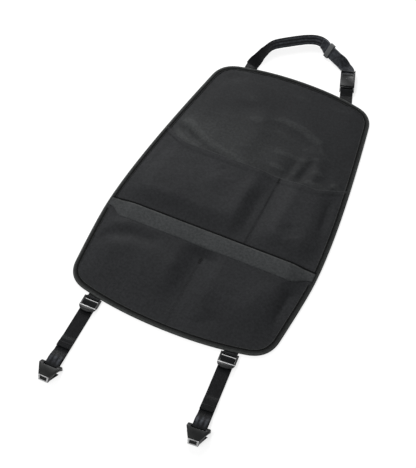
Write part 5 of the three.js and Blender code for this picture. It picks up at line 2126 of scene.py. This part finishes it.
@dataclass
class Stitching:
    """All the visible seams, one mesh for each body."""

    panel: Panel
    pockets: Pockets
    straps: tuple[LowerStrap, LowerStrap]

    def build(self, finishes: Finishes) -> None:
        """Sews the seams.

        Args:
            finishes: The object's finishes.
        """
        tree = StitchTree()
        thread = finishes.get(Finishes.THREAD)
        seams = (
            ("binding_seam", [self.panel.stitch_line()], {}),
            ("pocket_seams", self.pockets.stitch_lines(), dict(Pitch=3e-3, Length=2.2e-3, Thickness=4.5e-4)),
            ("bartacks", self.pockets.bartacks(), dict(Pitch=1.2e-3, Length=1.8e-3)),
        )
        parts = [tree.sew(name, lines, thread, **sizes) for name, lines, sizes in seams]
        finishes.dress(joined("protector_stitches", parts), Finishes.THREAD)
        for strap in self.straps:
            name = f"{strap.side}_tail_stitches"
            sewn = tree.sew(name, strap.stitch_lines(), thread, Pitch=0.0026, Length=0.002)
            finishes.dress(sewn, Finishes.THREAD, body=strap.strap_body)


# Studio


@dataclass
class Studio:
    """Pale floor, soft lamps, plain world and the photograph's camera."""

    target: tuple[float, float, float] = (-9.3, -98.8, 0.0)
    azimuth: float = 25.1
    elevation: float = 54.7
    distance: float = 2200.0
    lens: float = 92.7
    sensor: float = 36.0
    world_fill: float = 0.22
    floor_colour: float = 0.34
    floor_glow: float = 0.77
    floor_reach: float = 6000.0
    floor_drop: float = 0.2
    clip_end: float = 50.0
    lamps: tuple[tuple, ...] = (
        ("north_softbox", (-0.8, 1.3, 0.98), (0.0, -0.1, 0.0), 0.7, 27.0),
        ("overhead_softbox", (-0.9, -0.5, 1.8), (0.0, -0.1, 0.0), 1.3, 11.0),
        ("rim_softbox", (-0.5, -1.4, 1.2), (0.0, -0.3, 0.0), 0.35, 7.0),
    )

    @staticmethod
    def _seen(graph: Graph) -> Socket:
        """One for camera, glossy and transmission rays."""
        path = graph.add("ShaderNodeLightPath").outputs
        either = graph.math("MAXIMUM", path["Is Camera Ray"], path["Is Glossy Ray"])
        return graph.math("MAXIMUM", either, path["Is Transmission Ray"])

    def _world(self) -> None:
        """Builds the world: white where it is seen, a soft fill elsewhere."""
        world = bpy.data.worlds.new("studio_world")
        bpy.context.scene.world = world
        world.use_nodes = True
        g = Graph(world.node_tree)
        strength = g.blended(self._seen(g), self.world_fill, 1.0)
        g.feed(world.node_tree.nodes["Background"], {"Color": (1.0, 1.0, 1.0, 1.0), "Strength": strength})

    def _floor(self) -> None:
        """Builds the floor, which keeps the object's shadow."""
        corners = [(-1, -1), (1, -1), (1, 1), (-1, 1)]
        points = [(x * self.floor_reach, y * self.floor_reach, -self.floor_drop) for x, y in corners]
        floor = make_object("studio_floor", np.array(points), [(0, 1, 2, 3)], outward=False)
        material = bpy.data.materials.new("floor_paper")
        material.use_nodes = True
        tree = material.node_tree
        tree.nodes.remove(tree.nodes["Principled BSDF"])
        g = Graph(tree)
        speck = g.noise(g.add("ShaderNodeTexCoord").outputs["Object"], 40.0)
        dark, light = ((level, level, level) for level in (self.floor_colour, self.floor_colour + 0.01))
        matt = g.add("ShaderNodeBsdfDiffuse", {"Color": g.mixed(speck, dark, light)})
        glow = g.add("ShaderNodeEmission", {"Strength": g.product(self._seen(g), self.floor_glow)})
        both = g.add("ShaderNodeAddShader", {0: matt.outputs[0], 1: glow.outputs[0]})
        g.feed(tree.nodes["Material Output"], {"Surface": both.outputs[0]})
        floor.data.materials.append(material)

    @staticmethod
    def _lamp(name: str, place: Colour, aim: Colour, size: float, power: float) -> None:
        """Adds a square soft lamp.

        Args:
            name: Its name.
            place: Where it stands, in metres.
            aim: The point that it faces, in metres.
            size: Its width in metres.
            power: Its power in watts.
        """
        light = bpy.data.lights.new(name, "AREA")
        light.shape = "SQUARE"
        light.size = size
        light.energy = power
        lamp = linked(name, light)
        lamp.location = place
        lamp.rotation_euler = (Vector(aim) - Vector(place)).to_track_quat("-Z", "Y").to_euler()

    def _camera(self) -> None:
        """Places the camera at the photograph's view."""
        data = bpy.data.cameras.new("photo_camera")
        data.lens = self.lens
        data.sensor_width = self.sensor
        data.sensor_fit = "AUTO"
        data.dof.use_dof = False
        data.clip_end = self.clip_end
        camera = linked("photo_camera", data)
        azimuth, elevation = math.radians(self.azimuth), math.radians(self.elevation)
        level = math.cos(elevation)
        back = Vector((math.sin(azimuth) * level, -math.cos(azimuth) * level, math.sin(elevation)))
        camera.location = (Vector(self.target) + back * self.distance) * MM
        camera.rotation_euler = (-back).to_track_quat("-Z", "Y").to_euler()
        bpy.context.scene.camera = camera

    def build(self) -> None:
        """Sets up the whole studio."""
        bpy.context.scene.view_settings.view_transform = "Standard"
        self._world()
        self._floor()
        self._camera()
        for lamp in self.lamps:
            self._lamp(*lamp)
        LOG.info("studio: floor, camera and %d lamps", len(self.lamps))


def main() -> None:
    """Builds the studio and every piece in order."""
    logging.basicConfig(level=logging.INFO, format="%(message)s")
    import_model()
    Studio().build()
    finishes = Finishes(ShaderKit())
    outline = PanelOutline()
    panel = Panel(outline)
    pockets = Pockets(outline)
    left = LowerStrap("left", LEFT_LOCK, 109.5, Body.LEFT_STRAP, Body.LEFT_HOOK)
    right = LowerStrap("right", RIGHT_LOCK, 114.5, Body.RIGHT_STRAP, Body.RIGHT_HOOK)
    stitching = Stitching(panel, pockets, (left, right))
    for assembly in (panel, pockets, HeadrestStrap(outline), left, right, stitching):
        assembly.build(finishes)


if __name__ == "__main__":
    main()
